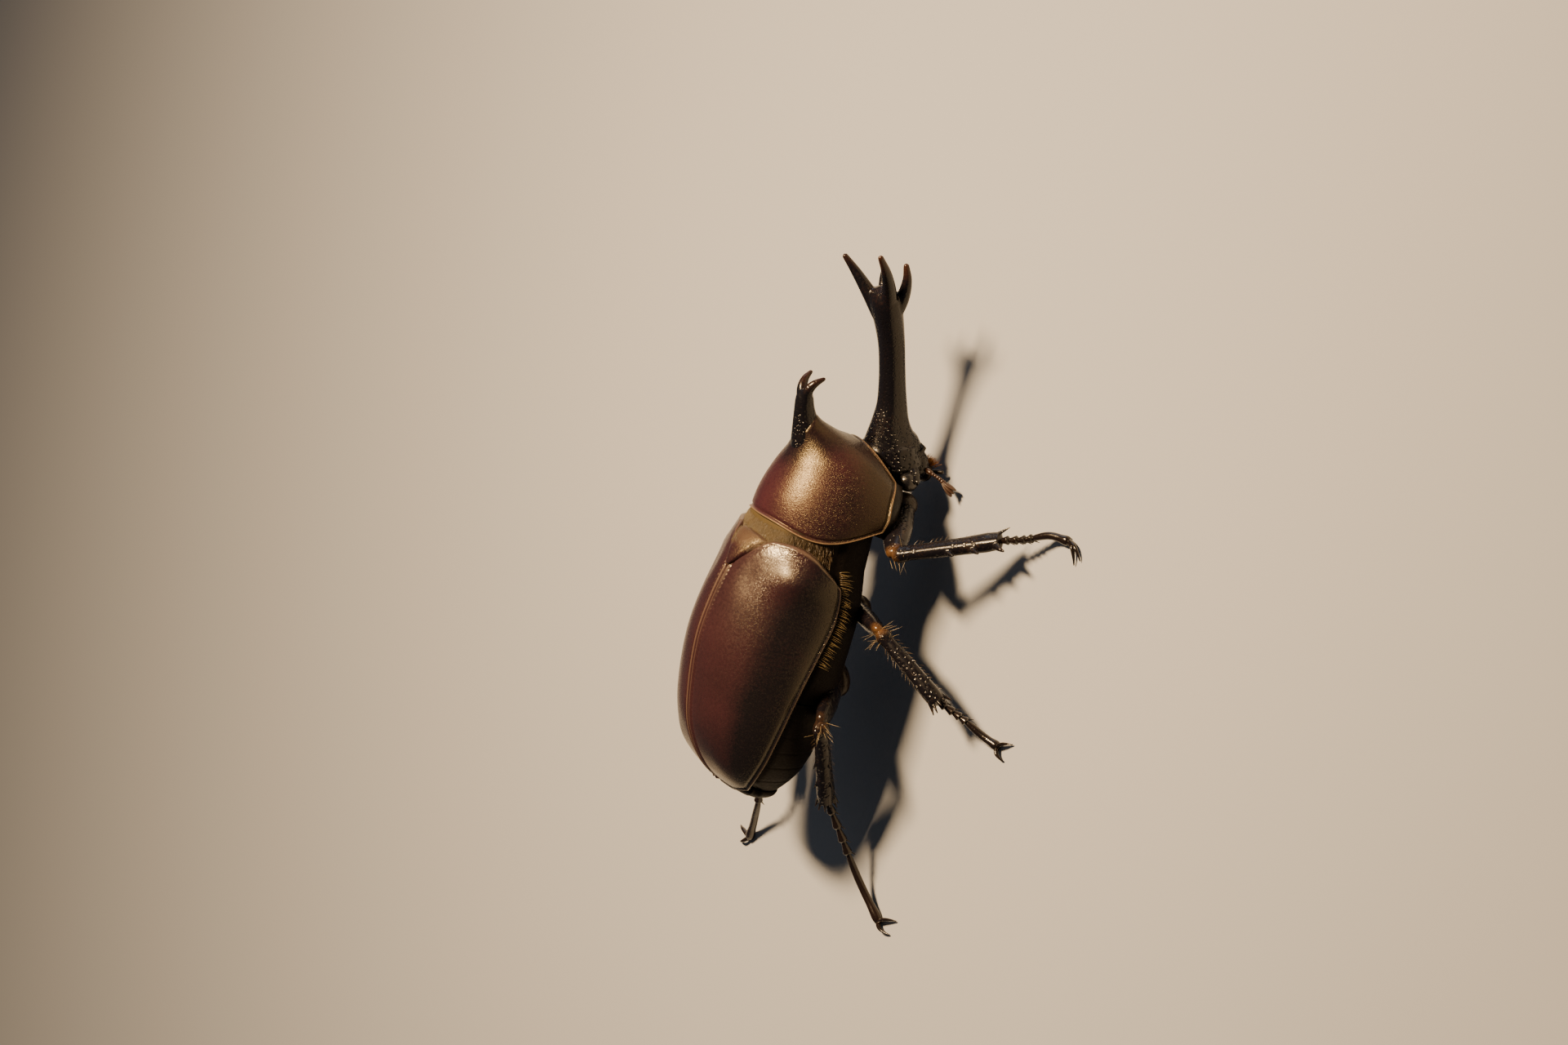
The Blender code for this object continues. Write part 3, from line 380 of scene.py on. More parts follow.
def chitin(name, dark, light, rough, coat, pits, grain=(6000, 0.004), marks="", pit_shade=0.0, edge=None,
           wrinkle=None, coat_rough=0.12, gloss=0.5, specks=None, sheen=0.0, warm=(1.0, 0.92, 0.8)):
    """Hard shell: two colours clouded together, fine pits and grain in its surface and a thin gloss over it.

    pits, grain and wrinkle are a scale and a depth in millimetres, and edge is a mark and its colour, on the
    wing cases partly a painted highlight. Of the marks, tone leads from dark to light, on the wing cases and
    the shield as painted light and shade, and pit says how deep the pits are, whose hollows may get painted
    shade.
    """
    mat, tree, shader = surface(name, {
        "Coat Weight": coat, "Coat Roughness": coat_rough, "Coat Tint": (1.0, 0.97, 0.92),
        "Specular IOR Level": gloss, "Specular Tint": warm,
        "Sheen Weight": sheen, "Sheen Roughness": 0.35, "Sheen Tint": (0.9, 0.68, 0.48)})
    where = node(tree, "TexCoord", {}).outputs["Object"]
    cloud, fine = noise(tree, where, 170, 5), noise(tree, where, 2600, 3)
    if "tone" in marks:
        amount = calc(tree, "ADD", mark(tree, "tone"), ranged(tree, cloud, 0.2, 0.8, -0.18, 0.18))
    else:
        amount = ranged(tree, cloud, 0.3, 0.7)
    amount = calc(tree, "ADD", amount, ranged(tree, fine, 0.35, 0.75, -0.12, 0.12))
    colour = mixed(tree, amount, dark, light)
    pit = cells(tree, where, pits[0])["Distance"]
    # Painted shade: the pits' hollows are darkened in colour.
    if pit_shade:
        hollow = calc(tree, "MULTIPLY", ranged(tree, pit, 0.12, 0.42, pit_shade, 0.0), mark(tree, "pit"))
        colour = mixed(tree, hollow, colour, tuple(0.35 * c for c in dark))
    if specks:
        scale, strength, pale = specks
        dots = cells(tree, where, scale)
        near = ranged(tree, dots["Distance"], 0.34, 0.12)
        share = node(tree, "SeparateColor", {0: dots["Color"]}).outputs[0]
        share = ranged(tree, share, 0.35, 1.0, 0.0, strength)
        colour = mixed(tree, calc(tree, "MULTIPLY", near, share), colour, pale)
    if edge:
        colour = mixed(tree, mark(tree, edge[0]), colour, edge[1])
    dull = ranged(tree, fine, 0.25, 0.8, rough * 0.8, rough * 1.25)
    pit = ranged(tree, pit, 0.12, 0.42)
    if "pit" in marks:
        pit = calc(tree, "MULTIPLY", pit, mark(tree, "pit"))
    relief = [(pit, pits[1]), (noise(tree, where, grain[0], 2), grain[1])]
    if wrinkle:
        folds = mark(tree, "folds")
        dull = calc(tree, "MULTIPLY", dull, ranged(tree, folds, 0.0, 1.0, 1.0, 0.72))
        fold = noise(tree, where, wrinkle[0], 4, 0.6)
        relief.append((calc(tree, "MULTIPLY", fold, folds), wrinkle[1]))
    normal = {}
    for height, depth in relief:
        bump = node(tree, "Bump", {"Height": height, "Distance": depth * MM, "Strength": 1, **normal})
        normal = {"Normal": bump.outputs[0]}
    fill(tree, shader, {"Base Color": colour, "Roughness": dull, **normal})
    return mat


def hair_material(name, root, tip):
    mat, tree, shader = surface(name, {"Roughness": 0.3, "Specular IOR Level": 0.8})
    where = node(tree, "TexCoord", {}).outputs["Object"]
    vary = ranged(tree, noise(tree, where, 900, 2), 0.3, 0.7, -0.25, 0.25)
    amount = calc(tree, "ADD", mark(tree, "along"), vary)
    fill(tree, shader, {"Base Color": mixed(tree, amount, root, tip)})
    return mat


# Wing cases

def elytra_half_width(f):
    """Half the width of the body over both wing cases."""
    from_widest = f - WIDEST_AT
    front = WIDEST_HALF - (from_widest / 12.5) ** 2
    rear = WIDEST_HALF * np.maximum(1 - (np.abs(from_widest) / 24.2) ** 3.2, 0.0) ** (1 / 2.4)
    return np.where(from_widest > 0, front, rear)


def elytron_point(u, v):
    """Outer surface: u from suture to side margin, v from front edge to apex."""
    angle = u * math.pi / 2
    s, c = np.sin(angle), np.maximum(np.cos(angle), 0.0)
    front = curve(ELYTRON_FRONT_EDGE, 11.8 * s) - 1.5 * np.clip((u - 0.8) / 0.2, 0, 1) ** 2.5
    rear = ELYTRA_REAR + SUTURE_NOTCH * (1 - s) ** 1.6 + 1.5 * np.clip((s - 0.5) / 0.5, 0, 1) ** 2.1
    f = front + (rear - front) * v
    r = SEAM / 2 + (elytra_half_width(f) - SEAM / 2) * s ** 0.96
    low, high = curve(SIDE_MARGIN, f), curve(BACK_LINE, f)
    return np.stack((f, r, low + (high - low) * c ** 1.15), axis=-1)


def grid_normals(grid):
    """Normals of a grid of points, from its neighbours, on its upper side."""
    normal = unit(np.cross(np.gradient(grid, axis=0), np.gradient(grid, axis=1)))
    return normal * np.sign(normal[:, :, 2].mean())


def run_length(grid, axis, backward=False):
    """Distance along one direction of a grid, from its first or last line."""
    step = np.linalg.norm(np.diff(grid, axis=axis), axis=2)
    if backward:
        step = np.flip(step, axis)
    total = np.cumsum(step, axis=axis)
    total = np.pad(total, [(1, 0) if k == axis else (0, 0) for k in (0, 1)])
    return np.flip(total, axis) if backward else total


def rounding(distance, radius, reach):
    """How deep a rounded edge falls at this distance from it."""
    x = np.clip(radius - distance, 0, reach)
    return radius - np.sqrt(radius ** 2 - x ** 2)


def elytron(name, side, mat):
    u = stations((0, 0.1, 28), (0.1, 0.9, 76), (0.9, 1, 28))
    v = stations((0, 0.05, 22), (0.05, 0.955, 200), (0.955, 1, 16))
    grid = elytron_point(*np.meshgrid(u, v, indexing="ij"))
    normal = grid_normals(grid)
    forward, across = grid[:, :, 0], grid[:, :, 1]
    from_suture = across - SEAM / 2
    from_side = run_length(grid, 0, True)
    from_front, from_rear = run_length(grid, 1), run_length(grid, 1, True)
    edge = np.minimum(from_side, from_rear)

    # Raised rim, seam with its row of dots, soft bumps and rounded edges
    rise = 0.15 * bell(edge - 0.28, 0.2) - 0.12 * bell(edge - 0.78, 0.22)
    dots = 0.5 + 0.5 * np.cos(2 * math.pi * forward / 0.66)
    rise += 0.15 * bell(from_suture - 0.4, 0.2) - (0.08 + 0.05 * dots) * bell(from_suture - 0.95, 0.16)
    rise -= 0.12 * smooth(0.2 - from_suture, 0, 0.2)
    for height, f, length, r, width in ELYTRON_BUMPS:
        rise += height * bell(forward - f, length) * bell(across - r, width)
    rise += 0.05 * bell(from_front - 0.5, 0.22) * smooth(across, 3.0, 5.0)
    turn = 0.22 + 0.55 * smooth(across, 3.4, 6.5)
    rise -= rounding(from_front, turn, turn * 0.97) + rounding(edge, 0.3, 0.28)
    outer = grid + normal * rise[:, :, None]
    outer[0, :, 1] = SEAM / 2

    # The shell turns in at its ends, under its side margin and along the suture
    border = ((0, 2), (1, 1), (0, 0))
    hem, down = np.pad(outer, border, mode="edge"), np.pad(normal, border, mode="edge")
    hem[:, [0, -1]] -= down[:, [0, -1]] * SHELL
    hem[-2] -= (0, 0.15, 0.25)
    hem[-1] -= (0, 1.1, 0.1)
    hem = np.concatenate((hem[:1] - down[:1] * (1, 0, 1) * SHELL, hem), axis=0)

    # tone is painted light and shade: the wing case is painted darker towards its outer side, where the light
    # falls away, and lighter beside the seam, where it is lit. It also darkens towards the rear end.
    tone = 0.74 - 0.84 * smooth(across - 0.06 * forward, 7.6, 11.4) - 0.5 * smooth(-forward, 7, 18)
    tone += 0.45 * bell(from_suture, 1.6) * smooth(-forward, 4, 14) + 0.25 * bell(from_suture, 0.8)
    # rim paints a lighter line along the side and rear margin, the front edge and the seam's crest. It is
    # partly the bead's own colour and partly a painted highlight.
    rim = 0.8 * bell(edge - 0.2, 0.12) + 0.4 * bell(from_front - 0.3, 0.25) * smooth(across, 2.5, 4)
    rim += 0.5 * bell(from_suture - 0.34, 0.11)
    folds = smooth(4.2 - from_front, 0, 3.4) * smooth(from_side, 0.5, 2.5) * smooth(across, 2.2, 5.5)
    pit = 0.3 + 0.7 * smooth(across / WIDEST_HALF, 0.3, 0.8)
    marks = {key: np.pad(np.clip(values, 0, 1), ((1, 2), (1, 1)), mode="edge")
             for key, values in dict(tone=tone, rim=rim, folds=folds, pit=pit).items()}
    verts = hem.reshape(-1, 3) * (1, side, 1)
    make(name + "_shell", verts, sheet(hem), mat, [name], "elytra_mahogany", **marks)


# Prothorax

def pronotum_point(angle, v):
    """Surface of the thorax shield: angle from side to side, v from its rear edge to its front edge."""
    side = [curve(PRONOTUM_SIDE, v, k) for k in (1, 2, 3)]
    top = [curve(PRONOTUM_TOP, v, k) for k in (1, 2)]
    s, c = np.sin(np.abs(angle)), np.maximum(np.cos(angle), 0.0)
    c = c ** (0.95 + 0.75 * v ** 3)
    bow = 2.8 * np.maximum(np.sin(2 * np.abs(angle)), 0.0) ** 1.2 * s ** 1.6 * (1 - v) ** 2
    return np.stack((side[0] + (top[0] - side[0]) * c - bow, np.sign(angle) * side[1] * s ** 0.95,
                     side[2] + (top[1] - side[2]) * c), axis=-1)


def horn_root_rise(points):
    """How the shield's skin climbs round the root of its horn, as an offset for each point."""
    start, ahead, over = np.array(((29.0, 0, 21.15), (0.853, 0, 0.522), (-0.522, 0, 0.853)))
    rel = points - start
    along, side, high = rel @ ahead, rel[..., 1], rel @ over
    away = np.sqrt(side ** 2 + high ** 2)
    under = 0.5 - 0.5 * high / np.maximum(away, 1e-6)
    radius, fillet = 1.9 - 0.4 * under, 2.7 + 1.6 * under
    lift = rounding(away - radius, fillet, fillet * 0.95) * smooth(along, -3.0, 0.5)
    return lift[..., None] * ahead


def inset(ring, scale, ahead):
    """A ring drawn in to its middle and moved forward."""
    centre = ring.mean(0)
    return centre + (ring - centre) * scale + (ahead, 0, 0)


def pronotum(mat):
    half = stations((0, 0.93, 66), (0.93, 1, 14))
    angle = np.concatenate((-half[::-1], half[1:])) * math.pi / 2
    v = stations((0, 0.05, 12), (0.05, 0.94, 110), (0.94, 1, 12))
    grid = pronotum_point(*np.meshgrid(angle, v, indexing="ij"))
    from_side = np.minimum(run_length(grid, 0), run_length(grid, 0, True))
    from_rear, from_front = run_length(grid, 1), run_length(grid, 1, True)
    edge = np.minimum(np.minimum(from_side, from_rear), from_front)
    rise = 0.2 * bell(edge - 0.22, 0.15) - 0.18 * bell(edge - 0.6, 0.22) - rounding(edge, 0.25, 0.24)
    outer = grid + grid_normals(grid) * rise[:, :, None]
    outer += horn_root_rise(outer)

    # Rings run over the shield and back underneath, a little below the line between its side margins
    rings = np.swapaxes(outer, 0, 1)
    back = rings[:, 0] - rings[:, -1]
    chord = [rings[:, -1] + back * t - (0, 0, 0.2) for t in np.linspace(0, 1, 12)[1:-1]]
    rings = np.concatenate((rings, np.stack(chord, 1)), axis=1)
    rear = [inset(rings[0], 0.9, 1.6), inset(rings[0], 0.97, 0.1)]
    front = [inset(rings[-1], 0.95, -0.15), inset(rings[-1], 0.86, -1.6)]
    verts, faces = skin(np.concatenate((rear, rings, front)))

    across = np.abs(grid[:, :, 1])
    near_horn = bell(np.linalg.norm((grid - (31.6, 0, 23.2)) * 0.85, axis=2), 3.9)
    # tone is painted shade: the shield is darker towards its sides, where the light falls away. It is also
    # darker round the horn's root and towards its front.
    tone = 0.66 - 0.66 * smooth(across, 5.5, 10.5) - 1.1 * near_horn - 0.5 * smooth(v, 0.58, 0.85)
    pit = 0.25 + 0.75 * np.maximum(smooth(across, 3.5, 9.0), smooth(3.5 - from_front, 0, 3))
    marks = {key: np.append(np.pad(np.clip(values, 0, 1).T, ((2, 2), (0, 10)), mode="edge"), (0.2, 0.2))
             for key, values in dict(tone=tone, pit=pit, rim=0.9 * bell(edge - 0.2, 0.12)).items()}
    make("pronotum_shield", verts, faces, mat, ["pronotum"], "pronotum_dark_brown", **marks)


def prosternum(mat):
    rings = []
    for v in np.linspace(0, 1, 30):
        f, r, u = [curve(PRONOTUM_SIDE, v, k) for k in (1, 2, 3)]
        f -= 0.9 * (1 - v)
        depth = 4.6 * (0.62 + 0.38 * math.sin(math.pi * (0.2 + 0.6 * v)))
        t = math.pi * np.arange(49) / 48
        ring = np.stack((f - 1.2 * np.sin(t), (r - 0.5) * np.cos(t) * 0.97, u - depth * np.sin(t) ** 0.8), 1)
        top = [(f, (r - 0.5) * x, u + 0.4) for x in (-0.9, -0.5, 0.0, 0.5, 0.9)]
        rings.append(np.vstack((ring, top)))
    make("prosternum_plate", *skin(rings), mat, ["prosternum"], "underside_brown")


def pronotal_horn(mat):
    root = [(26.6, 19.4, 3.6, 3.9), (28.4, 20.6, 3.1, 3.3)]
    stem = np.vstack((root, path_points(THORAX_HORN, 30)))
    stem[:, 2:] *= 1 + 0.1 * bell(stem[:, :1] - 31.6, 2.2)
    keel = path_points([(31.0, 19.8, 1.6, 1.5), (33.0, 21.3, 1.2, 1.25), (34.7, 23.2, 0.8, 0.9)], 12)
    parts = [middle_limb(stem, 32), middle_limb(keel, 24)]
    for side in (1, -1):
        parts.append(prong(np.array(THORAX_PRONG) * (1, side, 1), THORAX_PRONG_RADII, 16, 20, 0.2))
    verts, faces = melted(parts, 0.1, 8, 0.5)
    make("pronotal_horn_prong", verts, faces, mat, ["pronotal_horn"], "horn_brown_black",
         tone=smooth(verts[:, 0], 37.8, 40.8) * 0.45, pit=np.clip(1 - smooth(verts[:, 0], 32, 38), 0.15, 1))


# Head

def head_horn(mat):
    # A little stouter than the solid, because melting takes some off
    stem, radii = path_points(HEAD_HORN_STEM, 60) * (1, 1, 1.02, 1.02), np.array(TINE_RADII) * 1.03
    parts = [middle_limb(stem, 40, 0.93)] + [prong(tine, radii, 18, 24, 0.3) for tine in TINES]
    verts, faces = melted(parts, 0.11, 9, 0.5)
    f = verts[:, 0]
    pit = 1.0 - 0.72 * smooth(f, 35, 38.5) - 0.18 * bell(f - 53, 2) - 0.9 * smooth(f, 55, 57.5)
    make("head_horn_fork", verts, faces, mat, ["head_horn"], "horn_brown_black",
         tone=smooth(f, 56.0, 59.5) * 0.7, pit=np.clip(pit, 0.05, 1))


def head(mat):
    skull = path_points([(30.6, 0, 8.5), (32.0, 0, 9.1), (33.2, 0, 9.5)], 8)
    snout = path_points([(31.6, 0, 6.4), (33.0, 0, 5.6), (33.9, 0, 5.0)], 8)
    parts = [ellipsoid((30.6, 0, 8.4), (3.3, 4.7, 4.8), 24, 36),
             ellipsoid((31.4, 0, 11.0), (2.6, 3.6, 2.7), 20, 30),
             ellipsoid((31.0, 0, 5.2), (2.5, 3.9, 2.0), 20, 30),
             tube(snout, [(3.5 - 0.13 * k, 1.5 - 0.1 * k) for k in range(8)], 30),
             tube(skull, [(4.75 - 0.07 * k, 4.15 - 0.09 * k) for k in range(8)], 36, square=0.95)]
    for side in (1, -1):
        ridge = path_points([(30.9, 4.0 * side, 6.9), (30.1, 5.3 * side, 7.2), (29.1, 6.15 * side, 7.5)], 8)
        parts.append(tube(ridge, [(0.55, 0.75)] * 8, 16))
    make("head_capsule", *melted(parts, 0.14, 8), mat, ["head"], "horn_brown_black", tone=0.0, pit=1.0)


def eyes(mat):
    for word, side in SIDES:
        middle, radii = np.array(EYE)
        lens = ellipsoid(middle * (1, side, 1), radii * 1.03, 28, 40)
        make("eye_%s_lens" % word, *lens, mat, ["eye_" + word], "eye_black")


def antennae(mat, club):
    for word, side in SIDES:
        base = path_points([(30.9, 3.4 * side, 4.6), (30.7, 4.7 * side, 4.3), (30.4, 5.6 * side, 3.5),
                            (29.9, 6.2 * side, 2.7)], 19)
        beads = []
        for start, end, radius in ANTENNA_BEADS:
            path = base[start] + np.outer(np.linspace(0, 1, 6), base[end] - base[start])
            sizes = [(radius * s,) * 2 for s in (0.6, 0.9, 1.0, 1.05, 1.0, 0.75)]
            beads.append(tube(path, sizes, 14, (1, 0, 0)))
        make("antenna_%s_stalk" % word, *joined(beads), mat, ["antenna_" + word], "antenna_brown")
        leaves = []
        for k in range(3):
            lean = (-0.25 - 0.25 * k, 0.8 * side, -0.55)
            middle = (29.8 - 0.28 * k, (6.9 + 0.02 * k) * side, 2.2 + 0.12 * k)
            leaves.append(ellipsoid(middle, (1.3, 0.2, 0.52), 16, 20, lean))
        make("antenna_%s_club" % word, *joined(leaves), club, (), "antenna_brown")


def mouthparts(mat):
    parts = [ellipsoid((29.9, 0, 2.5), (1.5, 2.0, 0.85), 16, 24)]
    for side in (1, -1):
        path = path_points([(29.9, 1.2 * side, 2.5), (30.6, 2.6 * side, 2.1), (30.9, 3.5 * side, 1.6)], 10)
        parts.append(tube(path, [(0.42 - 0.012 * k,) * 2 for k in range(10)], 14))
        parts.append(spine((30.4, 0.8 * side, 2.4), (1, 0.25 * side, -0.1), 1.6, 0.45))
    make("mouthparts_jaws", *melted(parts, 0.1, 4), mat, ["mouthparts"], "leg_black", tone=0.3)


# Body under the wing cases

def body_ring(f, shrink=0.0):
    """Section of the body: rounded under the wing cases, fuller below their margin."""
    half, depth, count = elytra_half_width(f), 1.45, 28
    top = min(curve(BACK_LINE, max(f - depth, ELYTRA_REAR)), curve(BACK_LINE, f)) - depth
    low = min(curve(SIDE_MARGIN, f), top - 0.6)
    under = curve(BELLY, f) + shrink
    t = math.pi / 2 * np.arange(count) / count
    upper = np.stack((np.full(count, f), (half - depth) * np.sin(t), low + (top - low) * np.cos(t)), 1)
    waist = np.array([(f, half - depth, low - 0.1), (f, half - depth, low - 0.4)])
    t = math.pi / 2 * np.arange(1, count + 1) / count
    across = (half - 0.7 - shrink) * np.maximum(np.cos(t), 0) ** 0.75
    across[-1] = 0
    lower = np.stack((np.full(count, f), across, low - 0.5 - (low - 0.5 - under) * np.sin(t) ** 0.9), 1)
    ring = np.vstack((upper, waist, lower))
    return np.vstack((ring, (ring[1:-1] * (1, -1, 1))[::-1]))


def abdomen(mat):
    """Belly with its overlapping rings, each a little proud of the next."""
    rings, tone = [], []
    for f in np.linspace(*ABDOMEN, 110):
        s = (ABDOMEN[0] - f) / ABDOMEN_RING % 1.0
        step = 0.05 * (1 - s) - 0.02
        crease = 0.06 * (bell(s, 0.05) + bell(s - 1.0, 0.05))
        rings.append(body_ring(f, 0.12 - step + crease))
        tone.append(np.full(len(rings[-1]), 0.35 - 0.3 * (bell(s, 0.12) + bell(s - 1, 0.12))))
    tone = np.append(np.concatenate(tone), (0.5, 0.5))
    make("abdomen_rings", *skin(rings), mat, ["abdomen"], "underside_brown", tone=tone)


def pygidium(mat):
    """End plate, drawn up under the wing cases in its middle."""
    front, tip = ABDOMEN[1] - CAD_HALF_GAP, np.array((-21.85, 0.0, 16.2))
    base = body_ring(ABDOMEN[1])
    rings = []
    for t in np.linspace(0, 0.97, 24):
        size = (1 - t ** 2.2) ** 0.6
        rings.append(tip * (0, 1, 1) + (base - tip) * (0, size, size) + (front - 2.3 * t, 0, 0))
    verts, faces = skin(rings, None, tip)
    verts[:, 2] += 2.0 * bell(verts[:, 1], 4.2) * np.clip((verts[:, 2] - tip[2]) / 3.2, 0, 1)
    make("pygidium_plate", verts, faces, mat, ["pygidium"], "underside_brown", tone=0.9)


def neck_ring(f):
    """Section of the body in front of the wing cases."""
    ring = body_ring(min(f, 15.5))
    near = min(max((f - 10.5) / 9.0, 0), 1.3)
    drop = 1.3 * max(near - 0.45, 0) ** 1.5
    high = np.clip((ring[:, 2] - 21.0) / 5.0, 0, 1)
    moved = ring * (1, 1 - 0.1 * near, 1)
    moved[:, 0] = f
    moved[:, 2] += 0.85 * min(near, 1.0) * high * high * (3 - 2 * high)
    moved[:, 2] -= drop * np.maximum(ring[:, 2] - 20, 0) / 3
    return moved


def pterothorax(mat):
    verts, faces = skin([neck_ring(f) for f in (*np.linspace(-3.85, 10.4, 34), *np.linspace(10.8, 21.2, 30))])
    olive = smooth(verts[:, 0], 12.0, 14.0) * (0.18 + 0.82 * smooth(-np.abs(verts[:, 1]), -7.4, -5.0))
    olive *= smooth(verts[:, 2], 19.5, 22.5)
    make("pterothorax_plates", verts, faces, mat, ["pterothorax"], "underside_brown", tone=0.15, olive=olive)


def scutellum_point(a, v):
    """Top of the small plate between the wing cases: a from side to side, v from front to tip."""
    half = 0.25 + 3.75 * (1 - v) ** 0.85
    bow = a * a * (1 - v)
    return np.stack((17.2 - 5.4 * v - 0.5 * bow, half * a,
                     28.15 + 2.1 * np.sin(v * math.pi / 2) ** 0.8 - 0.9 * bow), -1)


def scutellum(mat):
    a, v = np.meshgrid(np.linspace(-1, 1, 60), np.linspace(0, 1, 50), indexing="ij")
    grid = scutellum_point(a, v)
    grid[..., 2] -= 0.5 * np.abs(a) ** 8
    grid = np.pad(grid, ((1, 1), (1, 1), (0, 0)), mode="edge")
    grid[..., 2] -= np.pad(np.zeros(a.shape), 1, constant_values=SHELL)
    make("scutellum_plate", grid.reshape(-1, 3), sheet(grid), mat, ["scutellum"], "pronotum_dark_brown",
         tone=0.3, pit=0.8, rim=0.25 * smooth(grid[..., 0], 14.2, 16.0))


# Legs

def shin_axes(leg):
    """Knee, shin, and the directions down the shin, outward from it and sideways."""
    hip, knee, ankle = leg[:3]
    ahead = unit(ankle - knee)
    outer = unit(ahead * ((hip - knee) @ ahead) - (hip - knee))
    return knee, ankle - knee, ahead, outer, np.cross(ahead, outer)


def coxa(kind, name, leg, mat):
    form = ellipsoid(leg[0], COXA_RADII[kind], 20, 28, (COXA_LEAN[kind], np.sign(leg[0, 1]), 0.1))
    make("coxa_%s_hip" % name, *form, mat, ["coxa_" + name], "leg_black", tone=0.25)


def femur(kind, name, leg, mat):
    hip, knee, ankle = leg[:3]
    axis = knee - hip
    start = hip + axis * 0.06
    t = np.linspace(0, 1.0, 40)
    depth = FEMUR_DEPTH[kind] * np.interp(t, (0, 0.12, 0.3, 0.5, 0.72, 0.88, 0.97, 1.0),
                                          (0.72, 0.97, 0.98, 1.0, 0.88, 0.7, 0.56, 0.4))
    up = np.cross(np.cross(axis, ankle - knee), axis)
    path = start + np.outer(t, knee - start)
    verts, faces = tube(path, np.stack((depth * 0.66, depth), 1), 32, up, square=0.9)
    along = (verts - hip) @ axis / (axis @ axis)
    make("femur_%s_thigh" % name, verts, faces, mat, ["femur_" + name], "leg_black",
         tone=smooth(along, 0.86, 1.0) * KNEE_TONE[kind], pit=0.7)


def tibia(kind, name, leg, mat):
    """Shin with its teeth or rings of spines, and two spurs at its end."""
    knee, shin, ahead, outer, side = shin_axes(leg)
    ankle, end = leg[2], TIBIA_END[kind]
    t = np.linspace(0.0, 0.98, 50)
    at = (0.0, 0.06, 0.16, 0.4, 0.65, 0.86, 0.98)
    stout = 1.0 if kind == "fore" else 1.1
    wide = stout * np.interp(t, at, (0.8, 1.12, 0.92, 1.0, 1.05, 1.16, 1.05))
    deep = stout * np.interp(t, at, (1.0, 1.38, 1.16, 1.24, end * 0.93, end * 1.04, end * 0.93))
    path = knee + np.outer(t, shin) + np.outer(0.15 * np.sin(math.pi * t), outer)
    parts = [tube(path, np.stack((wide, deep), 1), 28, outer, square=0.82)]
    if kind == "fore":
        for place, size in ((0.5, 1.0), (0.72, 1.35), (0.94, 1.7)):
            parts.append(spine(knee + shin * place + outer * end * 0.5, outer * 0.9 + ahead * 0.55,
                               size + end * 0.55, 0.72, ahead * 0.25))
    else:
        for place, size in ((0.42, 0.9), (0.66, 1.1)):
            for lean in (-0.85, -0.3, 0.3, 0.85):
                root = knee + shin * (place + 0.03 * abs(lean)) + outer * 0.75 + side * lean * 0.8
                parts.append(spine(root, outer * 0.7 + side * lean * 0.7 + ahead * 0.9, size + 0.4, 0.36))
        for a in np.radians(np.arange(-105, 106, 35)):
            lean = outer * math.cos(a) + side * math.sin(a)
            parts.append(spine(ankle + lean * 0.95 - ahead * 0.9, ahead + lean * 0.45, 1.9, 0.36))
    for lean, size in ((0.55, 2.6), (-0.55, 2.0)):
        root = ankle - ahead * 0.9 - outer * 0.55 + side * lean
        parts.append(spine(root, ahead - outer * 0.55 + side * lean * 0.5, size, 0.34, outer * 0.2))
    verts, faces = melted(parts, 0.09, 3, 0.5)
    along = (verts - knee) @ shin / (shin @ shin)
    make("tibia_%s_shin" % name, verts, faces, mat, ["tibia_" + name], "leg_black",
         tone=KNEE_TONE[kind] * (1 - smooth(along, -0.02, 0.11)) + 0.15 * smooth(along, 0.97, 1.08),
         pit=0.45 if kind == "fore" else 1.0)


def tarsus(kind, name, leg, mat, claw_mat):
    """Foot of four short joints and a long smooth one, and two hooked claws."""
    knee, ankle, *toes = leg[1:6]
    line = path_points([ankle - unit(ankle - knee) * 0.4, *toes], 401)
    parts = []
    for k in range(5):
        a, b = round(TARSUS_JOINTS[k] * 400), round(TARSUS_JOINTS[k + 1] * 400)
        span = line[max(a - 5, 0):b + 1]
        path = path_points(span[np.linspace(0, len(span) - 1, 8).astype(int)], 24)
        thick, at, shape = SHORT_JOINT if k < 4 else LONG_JOINT
        size = thick * np.interp(np.linspace(0, 1, 24), at, shape)
        parts.append(tube(path, np.stack((size, size * 1.05), 1), 20))
        if k < 4:
            d = unit(path[-1] - path[-3])
            down = unit(np.array((0, 0, -1.0)) + d * d[2])
            sideways = np.cross(d, down)
            for lean in (-0.5, 0.5):
                parts.append(spine(path[-3] + down * 0.32 + sideways * lean * 0.4,
                                   d + down * 0.7 + sideways * lean, 0.95, 0.14, sides=8))
    verts, faces = joined(parts)
    make("tarsus_%s_foot" % name, on_floor(verts), faces, mat, ["tarsus_" + name], "tarsus_black_brown")
    root, tips, claws = toes[-1], leg[6:], []
    for k in (0, 1):
        away = tips[0] - tips[1] if k == 0 or kind == "fore" else tips[1] - tips[0]
        bow = unit(away) * CLAW_BOW[kind]
        go, rise = tips[k] - root, np.array((0, 0, 0.45))
        path = path_points([root - go * 0.06, root + go * 0.35 + bow + rise,
                            root + go * 0.72 + bow * 0.75 + rise * 0.6, root + go * 0.94 + bow * 0.2], 24)
        size = np.interp(np.linspace(0, 1, 24), (0, 0.15, 0.6, 1), (0.38, 0.42, 0.28, 0.09))
        claws.append(tube(path, np.stack((size * 0.85, size), 1), 18, tip=0.1))
    verts, faces = joined(claws)
    make("claws_" + name, on_floor(verts), faces, claw_mat, (), "tarsus_black_brown")


# Bristles and short hair

